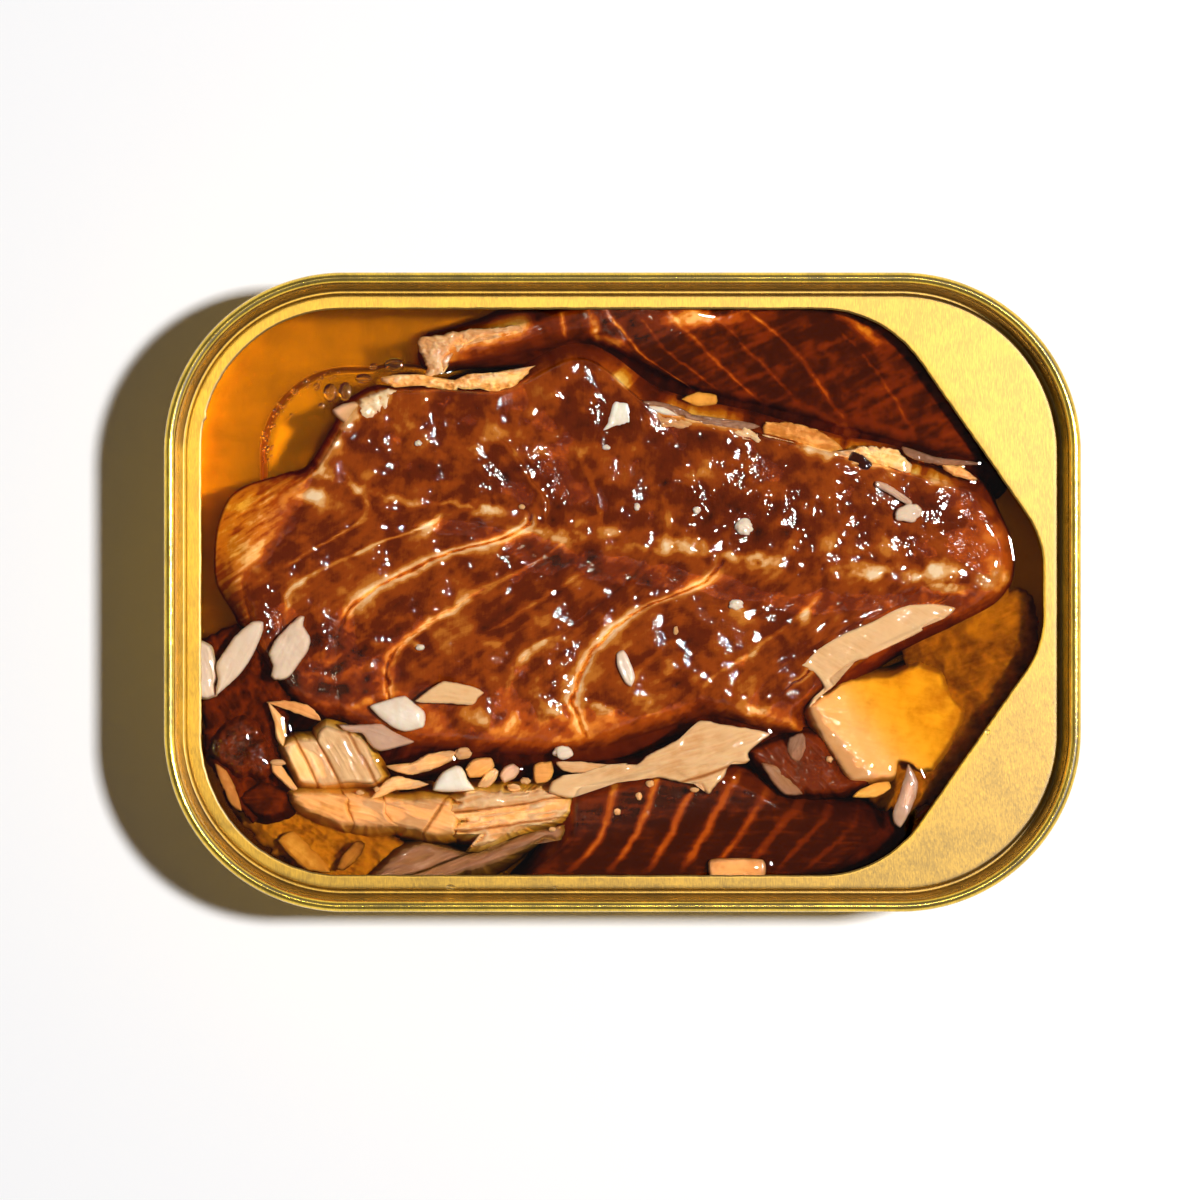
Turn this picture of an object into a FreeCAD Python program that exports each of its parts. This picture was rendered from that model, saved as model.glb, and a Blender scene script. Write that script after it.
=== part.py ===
import FreeCAD, Part
import math
import os
from FreeCAD import Vector

# A tin of smoked trout in oil: an oblong drawn can whose lid has been torn out, leaving its ring.
# Millimetres, +Z up, +X along the tin. The origin is the middle of the footprint, on the table.

# The tin, measured over its double seam
length = 109.0
width = 76.0
height = 22.5
corner_radius = 21.4
sheet = 0.25
seam_gap = 0.03
seam_height = 2.9
hook_length = 2.0
cover_hook_length = 1.8
countersink = 4.2

# The body's foot
foot_radius = 1.9
standing_width = 9.8
panel_slope_width = 1.0
panel_rise = 0.8
panel_bend = 0.8
plate_inset = 12.5

# The lid's ring
seam_crown_radius = 0.45
chuck_wall_straight = 2.1
chuck_wall_draft = 0.6
groove_width = 0.55
groove_depth = 0.3
score_step = 0.15
ring_lip = 4.2
shoulder_reach = 31.2
nose_half_width = 6.4
opening_end_radius = 16.8
opening_shoulder_radius = 14.7
opening_nose_radius = 11.7

# The contents
headspace = 5.9
oil_clearance = 0.04
wall_clearance = 0.5
floor_clearance = 0.05
lid_clearance = 0.15
seat_gap = 0.2
edge_round = 2.2

# The places of the pieces below are for a tin of this size, and stretch with the real one
drawn_length = 109.0
drawn_width = 76.0

half_length = length / 2 - 3 * (sheet + seam_gap)
half_width = width / 2 - 3 * (sheet + seam_gap)
wall_radius = corner_radius - 3 * (sheet + seam_gap)
corner_x = half_length - wall_radius
corner_y = half_width - wall_radius
panel_top = height - countersink
oil_level = height - headspace
floor = sheet + panel_rise + floor_clearance
up = Vector(0, 0, 1)
origin = Vector(0, 0, 0)


def plan(x, y):
    # A place inside the tin, stretched with its length and width.
    return Vector(x * length / drawn_length, y * width / drawn_width, 0)


def outline(corners, radii):
    # A closed flat wire through corners, each rounded by its own radius.
    edges = []
    ends = []
    count = len(corners)
    for index, corner in enumerate(corners):
        back = (corners[index - 1] - corner).normalize()
        ahead = (corners[(index + 1) % count] - corner).normalize()
        half_angle = back.getAngle(ahead) / 2
        reach = radii[index] / math.tan(half_angle)
        middle = (back + ahead).normalize()
        centre = corner + middle * (radii[index] / math.sin(half_angle))
        start, end = corner + back * reach, corner + ahead * reach
        edges.append(Part.Arc(start, centre - middle * radii[index], end).toShape())
        ends.append((start, end))
    for index in range(count):
        edges.append(Part.makeLine(ends[index - 1][1], ends[index][0]))
    return Part.Wire(Part.__sortEdges__(edges))


def oblong(inset, low, high):
    # A block with the tin's plan, drawn in from the outside of the body wall.
    x, y = half_length - inset, half_width - inset
    corners = [Vector(x, y, low), Vector(-x, y, low), Vector(-x, -y, low), Vector(x, -y, low)]
    wire = outline(corners, [wall_radius - inset] * 4)
    return Part.Face(wire).extrude(Vector(0, 0, high - low))


def bent_line(corners, bends, shift):
    # The edges of a line through corners with rounded bends, moved to its left by shift.
    # Corners are (distance outside the body wall, height).
    points = [Vector(n, 0, z) for n, z in corners]
    ways = [(b - a).normalize() for a, b in zip(points, points[1:])]
    lefts = [Vector(-way.z, 0, way.x) for way in ways]
    moved = [points[0] + lefts[0] * shift]
    for point, before, after in zip(points[1:-1], lefts, lefts[1:]):
        moved.append(point + (before + after) * (shift / (1 + before.dot(after))))
    moved.append(points[-1] + lefts[-1] * shift)
    edges = []
    start = moved[0]
    for index, bend in enumerate(bends):
        corner, way, following = moved[index + 1], ways[index], ways[index + 1]
        turn = way.getAngle(following)
        side = 1 if (way.z * following.x - way.x * following.z) < 0 else -1
        radius = bend - side * shift
        reach = radius * math.tan(turn / 2)
        inward = (following - way).normalize()
        sagitta = radius / math.cos(turn / 2) - radius
        edges.append(Part.makeLine(start, corner - way * reach))
        middle, start = corner + inward * sagitta, corner + following * reach
        edges.append(Part.Arc(corner - way * reach, middle, start).toShape())
    edges.append(Part.makeLine(start, moved[-1]))
    return edges


def sheet_profile(corners, bends):
    # The cut face of a bent sheet that follows a centre line.
    left = bent_line(corners, bends, sheet / 2)
    right = bent_line(corners, bends, -sheet / 2)
    near = Part.makeLine(left[0].Vertexes[0].Point, right[0].Vertexes[0].Point)
    far = Part.makeLine(left[-1].Vertexes[-1].Point, right[-1].Vertexes[-1].Point)
    return Part.Face(Part.Wire(Part.__sortEdges__(left + right + [near, far])))


def carried_round(profile):
    # A profile carried all the way round the body wall: straight sides and turned corners.
    side = profile.translated(Vector(half_length, 0, 0))
    bend = profile.translated(Vector(half_length, corner_y, 0))
    end = profile.rotated(origin, up, 90).translated(Vector(0, half_width, 0))
    quarter = side.extrude(Vector(0, corner_y, 0)).fuse([
        bend.revolve(Vector(corner_x, corner_y, 0), up, 90),
        end.extrude(Vector(corner_x, 0, 0)),
    ])
    half = quarter.fuse(quarter.mirror(origin, Vector(1, 0, 0)))
    return half.fuse(half.mirror(origin, Vector(0, 1, 0)))


def foot_line():
    # Wall, foot bend, standing ring and raised panel, as the middle of the sheet.
    wall = -sheet / 2
    slope = wall - standing_width
    corners = [
        (wall, sheet / 2),
        (slope, sheet / 2),
        (slope - panel_slope_width, sheet / 2 + panel_rise),
        (-plate_inset, sheet / 2 + panel_rise),
    ]
    return corners, [foot_radius, panel_bend, panel_bend]


def make_tin_body():
    # One drawn piece: the flange hooks outward and down into the lid's seam.
    foot, foot_bends = foot_line()
    hook = 1.5 * sheet + 2 * seam_gap
    flange = height - 1.5 * sheet - seam_gap
    flange_bend = (sheet + seam_gap) * 0.97
    corners = [(hook, height - hook_length), (hook, flange), (-sheet / 2, flange)] + foot
    profile = sheet_profile(corners, [flange_bend, flange_bend] + foot_bends)
    plate = oblong(plate_inset, panel_rise, panel_rise + sheet)
    return carried_round(profile).fuse(plate).removeSplitter().Solids[0]


def opening_prism(growth, low, high):
    # The torn opening: full width at one end, narrowing from its shoulders to a round nose.
    end_x = -(length / 2 - ring_lip) - growth
    side_y = width / 2 - ring_lip + growth
    nose_x = length / 2 - ring_lip + growth
    nose_y = nose_half_width + growth / 2
    corners = [
        Vector(end_x, -side_y, low),
        Vector(shoulder_reach, -side_y, low),
        Vector(nose_x, -nose_y, low),
        Vector(nose_x, nose_y, low),
        Vector(shoulder_reach, side_y, low),
        Vector(end_x, side_y, low),
    ]
    radii = [opening_end_radius, opening_shoulder_radius, opening_nose_radius]
    wire = outline(corners, radii + radii[::-1])
    return Part.Face(wire).extrude(Vector(0, 0, high - low))


def make_lid_ring():
    # Seam hook, seam wall, crown, chuck wall, groove and the panel that is left round the opening.
    hook = sheet / 2 + seam_gap
    seam_wall = 2.5 * sheet + 3 * seam_gap
    chuck = -1.5 * sheet - seam_gap
    curl = height - seam_height + sheet / 2
    curl_bend = (sheet + seam_gap) * 0.97
    crown = height - sheet / 2
    panel = panel_top - sheet / 2
    groove = chuck - chuck_wall_draft
    corners = [
        (hook, curl + cover_hook_length),
        (hook, curl),
        (seam_wall, curl),
        (seam_wall, crown),
        (chuck, crown),
        (chuck, crown - chuck_wall_straight),
        (groove, panel - groove_depth),
        (groove - groove_width, panel - groove_depth),
        (groove - groove_width - groove_depth * 0.6, panel),
        (-plate_inset, panel),
    ]
    bends = [curl_bend, curl_bend, seam_crown_radius, seam_crown_radius, 2.0, 0.32, 0.28, 0.28]
    ring = carried_round(sheet_profile(corners, bends))
    ring = ring.fuse(oblong(plate_inset, panel_top - sheet, panel_top)).removeSplitter()
    ring = ring.cut(opening_prism(0, panel_top - 2 * sheet, height))
    return ring.cut(opening_prism(score_step, panel_top - sheet / 2, height)).Solids[0]


def smooth_line(points, count, crowding=0.0):
    # Points along a smooth curve through the given ones, crowded towards its ends.
    curve = Part.BSplineCurve()
    curve.interpolate(points)
    first, last = curve.FirstParameter, curve.LastParameter
    result = []
    for index in range(count):
        share = index / (count - 1)
        share -= crowding * math.sin(2 * math.pi * share) / (2 * math.pi)
        result.append(curve.value(first + (last - first) * share))
    return result


def net_surface(rows):
    # A cubic surface over a net of points. It stays within them, so it never overshoots.
    knots = []
    for count in (len(rows), len(rows[0])):
        spans = count - 3
        knots.append(([4] + [1] * (spans - 1) + [4], list(range(spans + 1))))
    (row_mults, row_knots), (step_mults, step_knots) = knots
    surface = Part.BSplineSurface()
    surface.buildFromPolesMultsKnots(rows, row_mults, step_mults, row_knots, step_knots, False, False, 3, 3)
    return surface.toShape()


def edge_fall(share, near, far):
    # 0 in the middle of a piece and 1 at its edges, over the given shares of its width.
    low = max(0.0, 1 - share / near) if near else 0.0
    high = max(0.0, 1 - (1 - share) / far) if far else 0.0
    return max(low, high) ** 2


ground = []


def flesh(lines, rise, per_flake=6, across=16, flakes=0, depth=0.35, falls=(0.14, 0.14), ends=(0.0, 0.0)):
    # A piece of flesh that stands on the tin's floor. Its lines cross it from one side to the other,
    # one on each sheet of white tissue that parts the flakes. rise(along, across) is the height of
    # its crest over the oil, both shares from 0 to 1. Each flake swells by depth.
    flakes = flakes or len(lines) - 1
    crossing = [smooth_line([plan(x, y) for x, y in line], across, 0.6) for line in lines]
    columns = flakes * per_flake + 1
    rows = []
    for index in range(across):
        along = smooth_line([line[index] for line in crossing], columns)
        side = index / (across - 1)
        side -= 0.6 * math.sin(2 * math.pi * side) / (2 * math.pi)
        row = []
        for step, point in enumerate(along):
            share = step / (columns - 1)
            swell = depth * math.sin(math.pi * (step % per_flake) / per_flake) ** 0.7
            fall = max(edge_fall(side, *falls), edge_fall(share, *ends)) * edge_round
            top = oil_level + rise(share, side) + swell - fall
            row.append(Vector(point.x, point.y, min(top, panel_top - sheet - lid_clearance)))
        rows.append(row)
        ground.extend(row)
    solid = net_surface(rows).extrude(Vector(0, 0, -2 * height))
    room = oblong(sheet + wall_clearance, floor, height)
    return max(solid.common(room).Solids, key=lambda each: each.Volume)


def blend(share, *values):
    # A value that runs through the given ones at even steps.
    place = min(share, 0.9999) * (len(values) - 1)
    index = int(place)
    step = place - index
    step = step * step * (3 - 2 * step)
    return values[index] * (1 - step) + values[index + 1] * step


def make_fillet_main():
    # The large smoked side, flakes slanting down and back from the furrow of its lateral line.
    lines = [
        [(-46.4, -2.6), (-48.5, 1.0), (-48.8, 5.0), (-48.2, 8.7), (-46.2, 12.0), (-40.8, 13.9)],
        [(-42.6, -8.8), (-45.4, 0.8), (-42.6, 4.8), (-39.4, 8.9), (-38.6, 11.7), (-36.9, 14.6)],
        [(-38.2, -14.0), (-40.4, -1.6), (-31.5, 4.8), (-21.5, 9.4), (-27.0, 16.5), (-31.2, 23.0)],
        [(-33.8, -15.9), (-33.2, -3.0), (-23.5, 3.6), (-11.5, 8.0), (-15.5, 15.5), (-23.5, 24.4)],
        [(-27.2, -18.6), (-27.4, -7.5), (-18.5, -0.8), (-6.5, 6.4), (-8.0, 15.5), (-14.5, 24.4)],
        [(-13.5, -19.6), (-12.6, -9.0), (-5.5, -3.6), (3.0, 4.4), (2.5, 14.0), (-5.0, 28.3)],
        [(-3.8, -19.0), (-5.6, -10.8), (1.0, -2.8), (11.5, 2.6), (10.0, 12.0), (3.6, 22.4)],
        [(10.0, -15.2), (9.8, -11.4), (16.5, -6.4), (24.0, 0.8), (20.5, 10.0), (14.5, 19.6)],
        [(16.8, -16.6), (15.6, -12.6), (24.0, -5.8), (36.0, 0.8), (31.5, 8.5), (27.5, 16.2)],
        [(22.2, -17.6), (21.8, -13.8), (31.5, -7.0), (44.5, -0.7), (46.3, 6.0), (42.3, 12.4)],
    ]

    def rise(along, side):
        crest = blend(along, -2.9, 0.55, 0.7, 0.65, 0.6, 0.75, 0.7, 0.7, 0.75, 0.3)
        furrow = 0.55 * math.exp(-((side - 0.53) / 0.05) ** 2)
        ridge = 0.3 * math.exp(-((side - 0.62) / 0.06) ** 2)
        belly = 0.9 * max(0.0, 1 - side / 0.3) ** 2
        return crest - furrow + ridge - belly

    return flesh(lines, rise, across=22, depth=0.3, falls=(0.1, 0.07), ends=(0.0, 0.05))


def make_fillet_back():
    # The fillet along the back, which slips under the ring and sinks towards the main one.
    lines = [
        [(-23.6, 26.6), (-24.0, 28.2), (-24.3, 30.0)],
        [(-17.5, 27.6), (-17.4, 29.3), (-17.0, 31.0)],
        [(-9.0, 29.3), (-9.5, 31.0), (-10.0, 32.8)],
        [(-2.9, 29.8), (-3.5, 31.8), (-4.2, 34.4)],
        [(8.5, 24.4), (1.8, 29.0), (-2.5, 35.0)],
        [(17.5, 22.2), (9.8, 29.0), (4.2, 35.2)],
        [(27.5, 19.4), (20.5, 29.0), (13.0, 35.2)],
        [(36.0, 16.9), (30.5, 26.4), (22.5, 35.2)],
        [(43.4, 15.2), (40.5, 22.0), (33.5, 31.5)],
    ]

    def rise(along, side):
        low = blend(along, 0.1, -0.4, -0.6, -1.0, -2.6, -2.9, -2.6, -2.0, -1.6)
        high = blend(along, 0.3, 0.4, 0.1, 0.3, 0.5, 0.5, 0.2, -0.8, -1.8)
        return low + (high - low) * math.sin(0.5 * math.pi * side)

    return flesh(lines, rise, across=14, depth=0.25, falls=(0.2, 0.08), ends=(0.03, 0.03))


def make_fillet_front():
    # The fillet along the front, cut across so that its bars of tissue stand like ladder rungs.
    lines = [
        [(-13.0, -34.8), (-7.2, -30.0), (-6.1, -24.6)],
        [(2.0, -35.2), (5.6, -29.2), (9.2, -21.5)],
        [(13.5, -35.2), (17.4, -30.0), (20.9, -25.8)],
        [(25.0, -33.6), (28.4, -31.2), (31.4, -28.6)],
    ]

    def rise(along, side):
        low = blend(along, -1.2, -1.2, -2.2, -3.0)
        high = blend(along, 0.5, 0.3, -0.1, -2.4)
        return low + (high - low) * side ** 0.6

    return flesh(lines, rise, per_flake=5, across=12, flakes=9, depth=0.35, falls=(0.1, 0.1), ends=(0.04, 0.04))


def make_flake_right():
    # A broad flake that has slid off under the oil, its torn lip still above it.
    lines = [
        [(28.8, -21.9), (24.8, -17.6), (23.0, -13.2)],
        [(31.5, -21.4), (28.0, -16.5), (25.6, -11.6)],
        [(36.0, -21.2), (33.5, -15.5), (31.2, -10.2)],
        [(40.0, -17.5), (39.3, -14.0), (37.0, -9.8)],
    ]
    return flesh(lines, lambda along, side: blend(along, 0.75, 0.35, -1.6, -3.2), across=10,
                 depth=0.15, falls=(0.08, 0.12), ends=(0.06, 0.1))


def make_corner_flesh():
    # A dark scrap between the main fillet, the broad flake and the front fillet.
    lines = [
        [(17.2, -20.6), (16.5, -19.6), (17.0, -18.6)],
        [(21.8, -23.6), (21.4, -21.4), (21.9, -18.9)],
        [(27.6, -23.8), (26.9, -22.6), (25.2, -20.6)],
    ]
    return flesh(lines, lambda along, side: blend(along, -0.9, -0.1, 0.1), across=8, depth=0.2)


def make_flake_block():
    # A short block of pale flakes that still hold together, their ribs slanting across it.
    lines = [
        [(-38.7, -23.3), (-39.9, -21.0), (-40.7, -18.6)],
        [(-35.9, -23.4), (-37.4, -20.8), (-38.5, -17.9)],
        [(-33.4, -23.5), (-35.3, -20.0), (-36.4, -16.6)],
        [(-29.7, -23.2), (-29.8, -20.2), (-32.4, -17.0)],
    ]
    return flesh(lines, lambda along, side: 0.5 + 0.25 * along, across=12, depth=0.35,
                 falls=(0.16, 0.1), ends=(0.05, 0.08))


def make_row_flake(index):
    # One of the flakes that lie in a row along the front, left of the frayed piece.
    upper = [plan(x, y) for x, y in [(-39.5, -24.1), (-33.0, -24.4), (-27.0, -24.9), (-21.7, -24.8)]]
    lower = [plan(x, y) for x, y in [(-38.6, -26.0), (-33.0, -28.1), (-27.0, -28.8), (-21.4, -28.7)]]
    tops, feet = smooth_line(upper, 31), smooth_line(lower, 31)
    first, last = index * 10, index * 10 + 9
    lines = []
    for step in (first, (first + last) // 2, last):
        top, foot = tops[step], feet[step]
        middle = (top + foot) / 2 - plan(0.5, 0)
        lines.append([(foot.x, foot.y), (middle.x, middle.y), (top.x, top.y)])
    stretch_x, stretch_y = length / drawn_length, width / drawn_width
    lines = [[(x / stretch_x, y / stretch_y) for x, y in line] for line in lines]
    return flesh(lines, lambda along, side: 0.35 + 0.12 * index, across=10, depth=0.15,
                 falls=(0.25, 0.15), ends=(0.1, 0.1))


def make_frayed_flesh():
    # The piece at the middle of the front whose ends have come apart into strands.
    lines = [
        [(-20.7, -28.3), (-21.0, -26.5), (-19.6, -24.7)],
        [(-13.6, -29.4), (-14.0, -26.5), (-13.3, -24.1)],
        [(-8.0, -29.2), (-7.4, -27.0), (-7.3, -25.2)],
    ]
    return flesh(lines, lambda along, side: 0.75, across=12, depth=0.2, falls=(0.2, 0.15), ends=(0.08, 0.08))


def make_front_flesh():
    # Greyish flesh just under the oil along the front, below the frayed piece.
    lines = [
        [(-29.8, -34.6), (-29.9, -33.8), (-29.2, -32.8)],
        [(-20.0, -35.2), (-20.2, -32.8), (-20.0, -30.4)],
        [(-12.0, -32.8), (-11.0, -31.4), (-9.6, -30.3)],
    ]
    return flesh(lines, lambda along, side: -0.5 + 0.3 * side, across=8, depth=0.2, ends=(0.08, 0.08))


def make_dark_lump():
    # A brown, jelly-like lump by the left wall.
    lines = [
        [(-47.0, -20.6), (-48.9, -18.6), (-47.6, -16.5)],
        [(-44.6, -22.0), (-45.4, -18.5), (-45.2, -15.1)],
        [(-42.6, -21.8), (-42.4, -20.0), (-42.8, -17.6)],
    ]
    return flesh(lines, lambda along, side: 0.2, across=10, depth=0.3, falls=(0.2, 0.2), ends=(0.15, 0.12))


def make_dark_flesh():
    # Dark flesh under the oil between the lump and the row of flakes.
    lines = [
        [(-45.0, -25.2), (-46.0, -24.2), (-45.4, -23.2)],
        [(-42.8, -26.4), (-43.0, -24.6), (-43.0, -22.8)],
        [(-40.6, -26.2), (-40.2, -24.8), (-40.8, -24.0)],
    ]
    return flesh(lines, lambda along, side: -0.6, across=8, depth=0.15, ends=(0.1, 0.1))


def chip_swell(share, blunt):
    # How far a loose scrap fills out along its length, 1 in its middle.
    return blunt + (1 - blunt) * math.sin(math.pi * min(1.0, max(0.0, share))) ** 0.8


def resting_level(start, end, wide, thick, bow, blunt, square):
    # The lowest that a scrap's middle can lie without touching the flesh below it.
    way = end - start
    across = Vector(-way.y, way.x, 0).normalize()
    level = -math.inf
    for point in ground:
        away = Vector(point.x, point.y, 0) - start
        share = away.dot(way) / way.dot(way)
        if -0.1 < share < 1.1:
            swell = chip_swell(share, blunt)
            offset = abs(away.dot(across) - bow * math.sin(math.pi * share))
            fill = offset / (wide / 2 * swell + seat_gap)
            if fill < 1:
                belly = (1 - fill ** square) ** (1 / square) * thick / 2 * (0.5 + swell / 2)
                level = max(level, point.z + seat_gap + belly)
    return level


def chip(start, end, wide, thick, rise, bow=0.0, blunt=0.5, square=2.4, sections=6):
    # A loose scrap: rounded sections carried from start to end, bowed sideways, widest in its middle.
    # It floats with its top at rise over the oil, or rests on what lies under it.
    start, end = plan(*start), plan(*end)
    way = (end - start).normalize()
    across = Vector(-way.y, way.x, 0)
    level = max(oil_level + rise - thick / 2, resting_level(start, end, wide, thick, bow, blunt, square))
    rings = []
    for index in range(sections):
        share = index / (sections - 1)
        swell = chip_swell(share, blunt)
        centre = start + (end - start) * share + across * (bow * math.sin(math.pi * share))
        points = []
        for step in range(12):
            angle = 2 * math.pi * step / 12
            cosine, sine = math.cos(angle), math.sin(angle)
            side = math.copysign(abs(cosine) ** (2 / square), cosine) * wide / 2 * swell
            lift = math.copysign(abs(sine) ** (2 / square), sine) * thick / 2 * (0.5 + swell / 2)
            points.append(centre + across * side + Vector(0, 0, level + lift))
        curve = Part.BSplineCurve()
        curve.interpolate(points, True)
        rings.append(Part.Wire(curve.toShape()))
        ground.extend(points)
    return Part.makeLoft(rings, True, False)


def make_flap_front():
    # The torn sheet of pale flesh that lies folded over the front fillet.
    thick = 1.1
    lines = [
        [(-6.6, -23.9), (-7.6, -23.1), (-6.6, -22.4)],
        [(1.0, -23.5), (0.2, -21.9), (0.4, -20.4)],
        [(10.3, -24.0), (8.8, -19.8), (9.4, -15.6)],
        [(15.0, -20.2), (15.4, -18.5), (17.2, -17.1)],
    ]
    crossing = [smooth_line([plan(x, y) for x, y in line], 9) for line in lines]
    rows = []
    for index in range(9):
        along = smooth_line([line[index] for line in crossing], 17)
        rows.append([Vector(point.x, point.y, 0) for point in along])
    spread = [point for row in rows for point in row]
    under = [each.z for each in ground if any(math.hypot(each.x - p.x, each.y - p.y) < 1.0 for p in spread)]
    bottom = max([oil_level + 0.1] + under) + seat_gap
    for row_index, row in enumerate(rows):
        for step, point in enumerate(row):
            crown = math.sin(math.pi * row_index / 8) * math.sin(math.pi * step / 16)
            point.z = bottom + 0.35 * crown
    for row in rows:
        ground.extend([point + Vector(0, 0, thick) for point in row])
    return net_surface(rows).extrude(Vector(0, 0, thick))


# Loose scraps: from, to, width, thickness, top over the oil, sideways bow, bluntness, squareness
chips = {
    "wall_chip": ((-49.9, -6.4), (-49.6, -11.4), 1.9, 2.6, 0.9, -0.2, 0.45, 2.6),
    "left_chip_outer": ((-43.4, -4.2), (-47.6, -10.8), 2.7, 1.6, 1.0, 0.3, 0.4, 2.4),
    "left_chip_inner": ((-38.6, -3.6), (-41.2, -9.8), 3.5, 1.7, 1.1, -0.4, 0.4, 2.6),
    "white_chip": ((-29.8, -13.7), (-24.2, -15.0), 3.5, 1.4, 1.2, 0.5, 0.5, 2.8),
    "beige_chip": ((-24.3, -12.4), (-17.3, -12.1), 2.2, 1.2, 1.0, 0.5, 0.45, 2.8),
    "pink_chip": ((-31.2, -16.5), (-25.6, -17.8), 2.4, 1.4, 0.9, 0.2, 0.35, 2.4),
    "white_wedge": ((-21.0, -22.7), (-18.4, -22.7), 2.9, 1.8, 0.9, 0.3, 0.6, 2.4),
    "strip_upper": ((-27.6, -21.2), (-20.8, -19.5), 1.5, 1.2, 0.5, -0.2, 0.5, 2.2),
    "strip_lower": ((-29.6, -23.6), (-23.6, -22.6), 1.5, 1.2, 0.5, 0.5, 0.4, 2.2),
    "tan_lump_left": ((-18.4, -20.5), (-16.2, -20.6), 1.7, 1.5, 0.3, 0.0, 0.7, 2.6),
    "tan_lump_right": ((-16.9, -22.6), (-15.6, -21.6), 1.2, 1.3, 0.3, 0.0, 0.7, 2.4),
    "grey_lump": ((-14.3, -22.2), (-13.2, -20.9), 1.3, 1.2, 0.4, 0.0, 0.7, 2.4),
    "amber_lump": ((-9.7, -22.0), (-9.5, -20.8), 1.9, 1.3, -0.3, 0.0, 0.7, 2.6),
    "curved_strip": ((-42.6, -12.8), (-41.0, -17.4), 1.0, 1.0, 0.3, 0.5, 0.5, 2.2),
    "thin_strip": ((-41.6, -20.9), (-39.9, -23.2), 0.9, 0.9, 0.3, -0.2, 0.5, 2.2),
    "sunk_strip_long": ((-42.6, -28.6), (-36.6, -32.6), 2.9, 1.0, -1.3, 0.4, 0.4, 2.2),
    "sunk_strip_short": ((-34.6, -33.2), (-31.2, -30.4), 1.9, 1.0, -1.0, 0.2, 0.4, 2.2),
    "grey_sliver": ((34.2, -21.2), (33.0, -27.6), 1.9, 0.9, 0.25, -0.3, 0.4, 2.4),
    "pale_block": ((11.4, -33.4), (16.4, -33.4), 2.3, 1.3, -0.25, 0.0, 0.8, 4.0),
    "white_sliver": ((-0.2, -7.3), (1.0, -11.3), 1.5, 0.8, 0.6, 0.2, 0.4, 2.2),
    "grey_flake": ((32.8, 9.6), (35.6, 9.5), 2.0, 0.7, 0.6, -0.3, 0.6, 2.4),
    "stick": ((31.0, 12.3), (34.2, 11.2), 0.8, 0.8, 0.6, 0.1, 0.5, 2.2),
    "pink_strip": ((-28.6, 25.6), (-13.6, 26.0), 1.2, 1.3, 0.35, -0.4, 0.5, 2.2),
    "edge_flake_left": ((28.2, 17.4), (35.6, 15.9), 1.5, 1.1, 0.5, 0.3, 0.4, 2.4),
    "edge_flake_right": ((37.2, 14.9), (42.0, 13.6), 1.3, 1.0, 0.2, 0.2, 0.4, 2.2),
    "sunk_bit": ((7.6, 23.2), (10.2, 23.4), 1.4, 0.8, -0.9, 0.1, 0.6, 2.6),
    "yellow_bit": ((29.0, -24.6), (32.2, -23.9), 1.4, 0.8, -0.8, 0.1, 0.6, 2.4),
}


def make_oil(pieces):
    # The oil: everything inside the wall up to its level that the pieces leave free.
    foot, bends = foot_line()
    away = sheet / 2 + oil_clearance
    under = bent_line([(-sheet / 2, oil_level)] + foot, bends, -away)
    inner, outer = under[-1].Vertexes[-1].Point, under[0].Vertexes[0].Point
    rim = Vector(inner.x, 0, oil_level)
    edges = under + [Part.makeLine(inner, rim), Part.makeLine(rim, outer)]
    profile = Part.Face(Part.Wire(Part.__sortEdges__(edges)))
    middle = oblong(plate_inset, sheet + panel_rise + oil_clearance, oil_level)
    body = carried_round(profile).fuse(middle).removeSplitter()
    return max(body.cut(pieces).Solids, key=lambda each: each.Volume)


pieces = {
    "fillet_main": make_fillet_main(),
    "fillet_back": make_fillet_back(),
    "fillet_front": make_fillet_front(),
    "flake_right": make_flake_right(),
    "corner_flesh": make_corner_flesh(),
    "flake_block": make_flake_block(),
    "frayed_flesh": make_frayed_flesh(),
    "front_flesh": make_front_flesh(),
    "dark_lump": make_dark_lump(),
    "dark_flesh": make_dark_flesh(),
}
for number in range(3):
    pieces["row_flake_%d" % (number + 1)] = make_row_flake(number)
pieces["flap_front"] = make_flap_front()
for name, sizes in chips.items():
    pieces[name] = chip(*sizes)

nodes = {"tin_body": make_tin_body(), "lid_ring": make_lid_ring(), "oil": make_oil(list(pieces.values()))}
nodes.update(pieces)

os.makedirs("parts", exist_ok=True)
for name, solid in nodes.items():
    solid.exportStep("parts/%s.step" % name)
    print(name, solid.ShapeType, solid.isValid(), "%.1f mm3" % solid.Volume)
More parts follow.
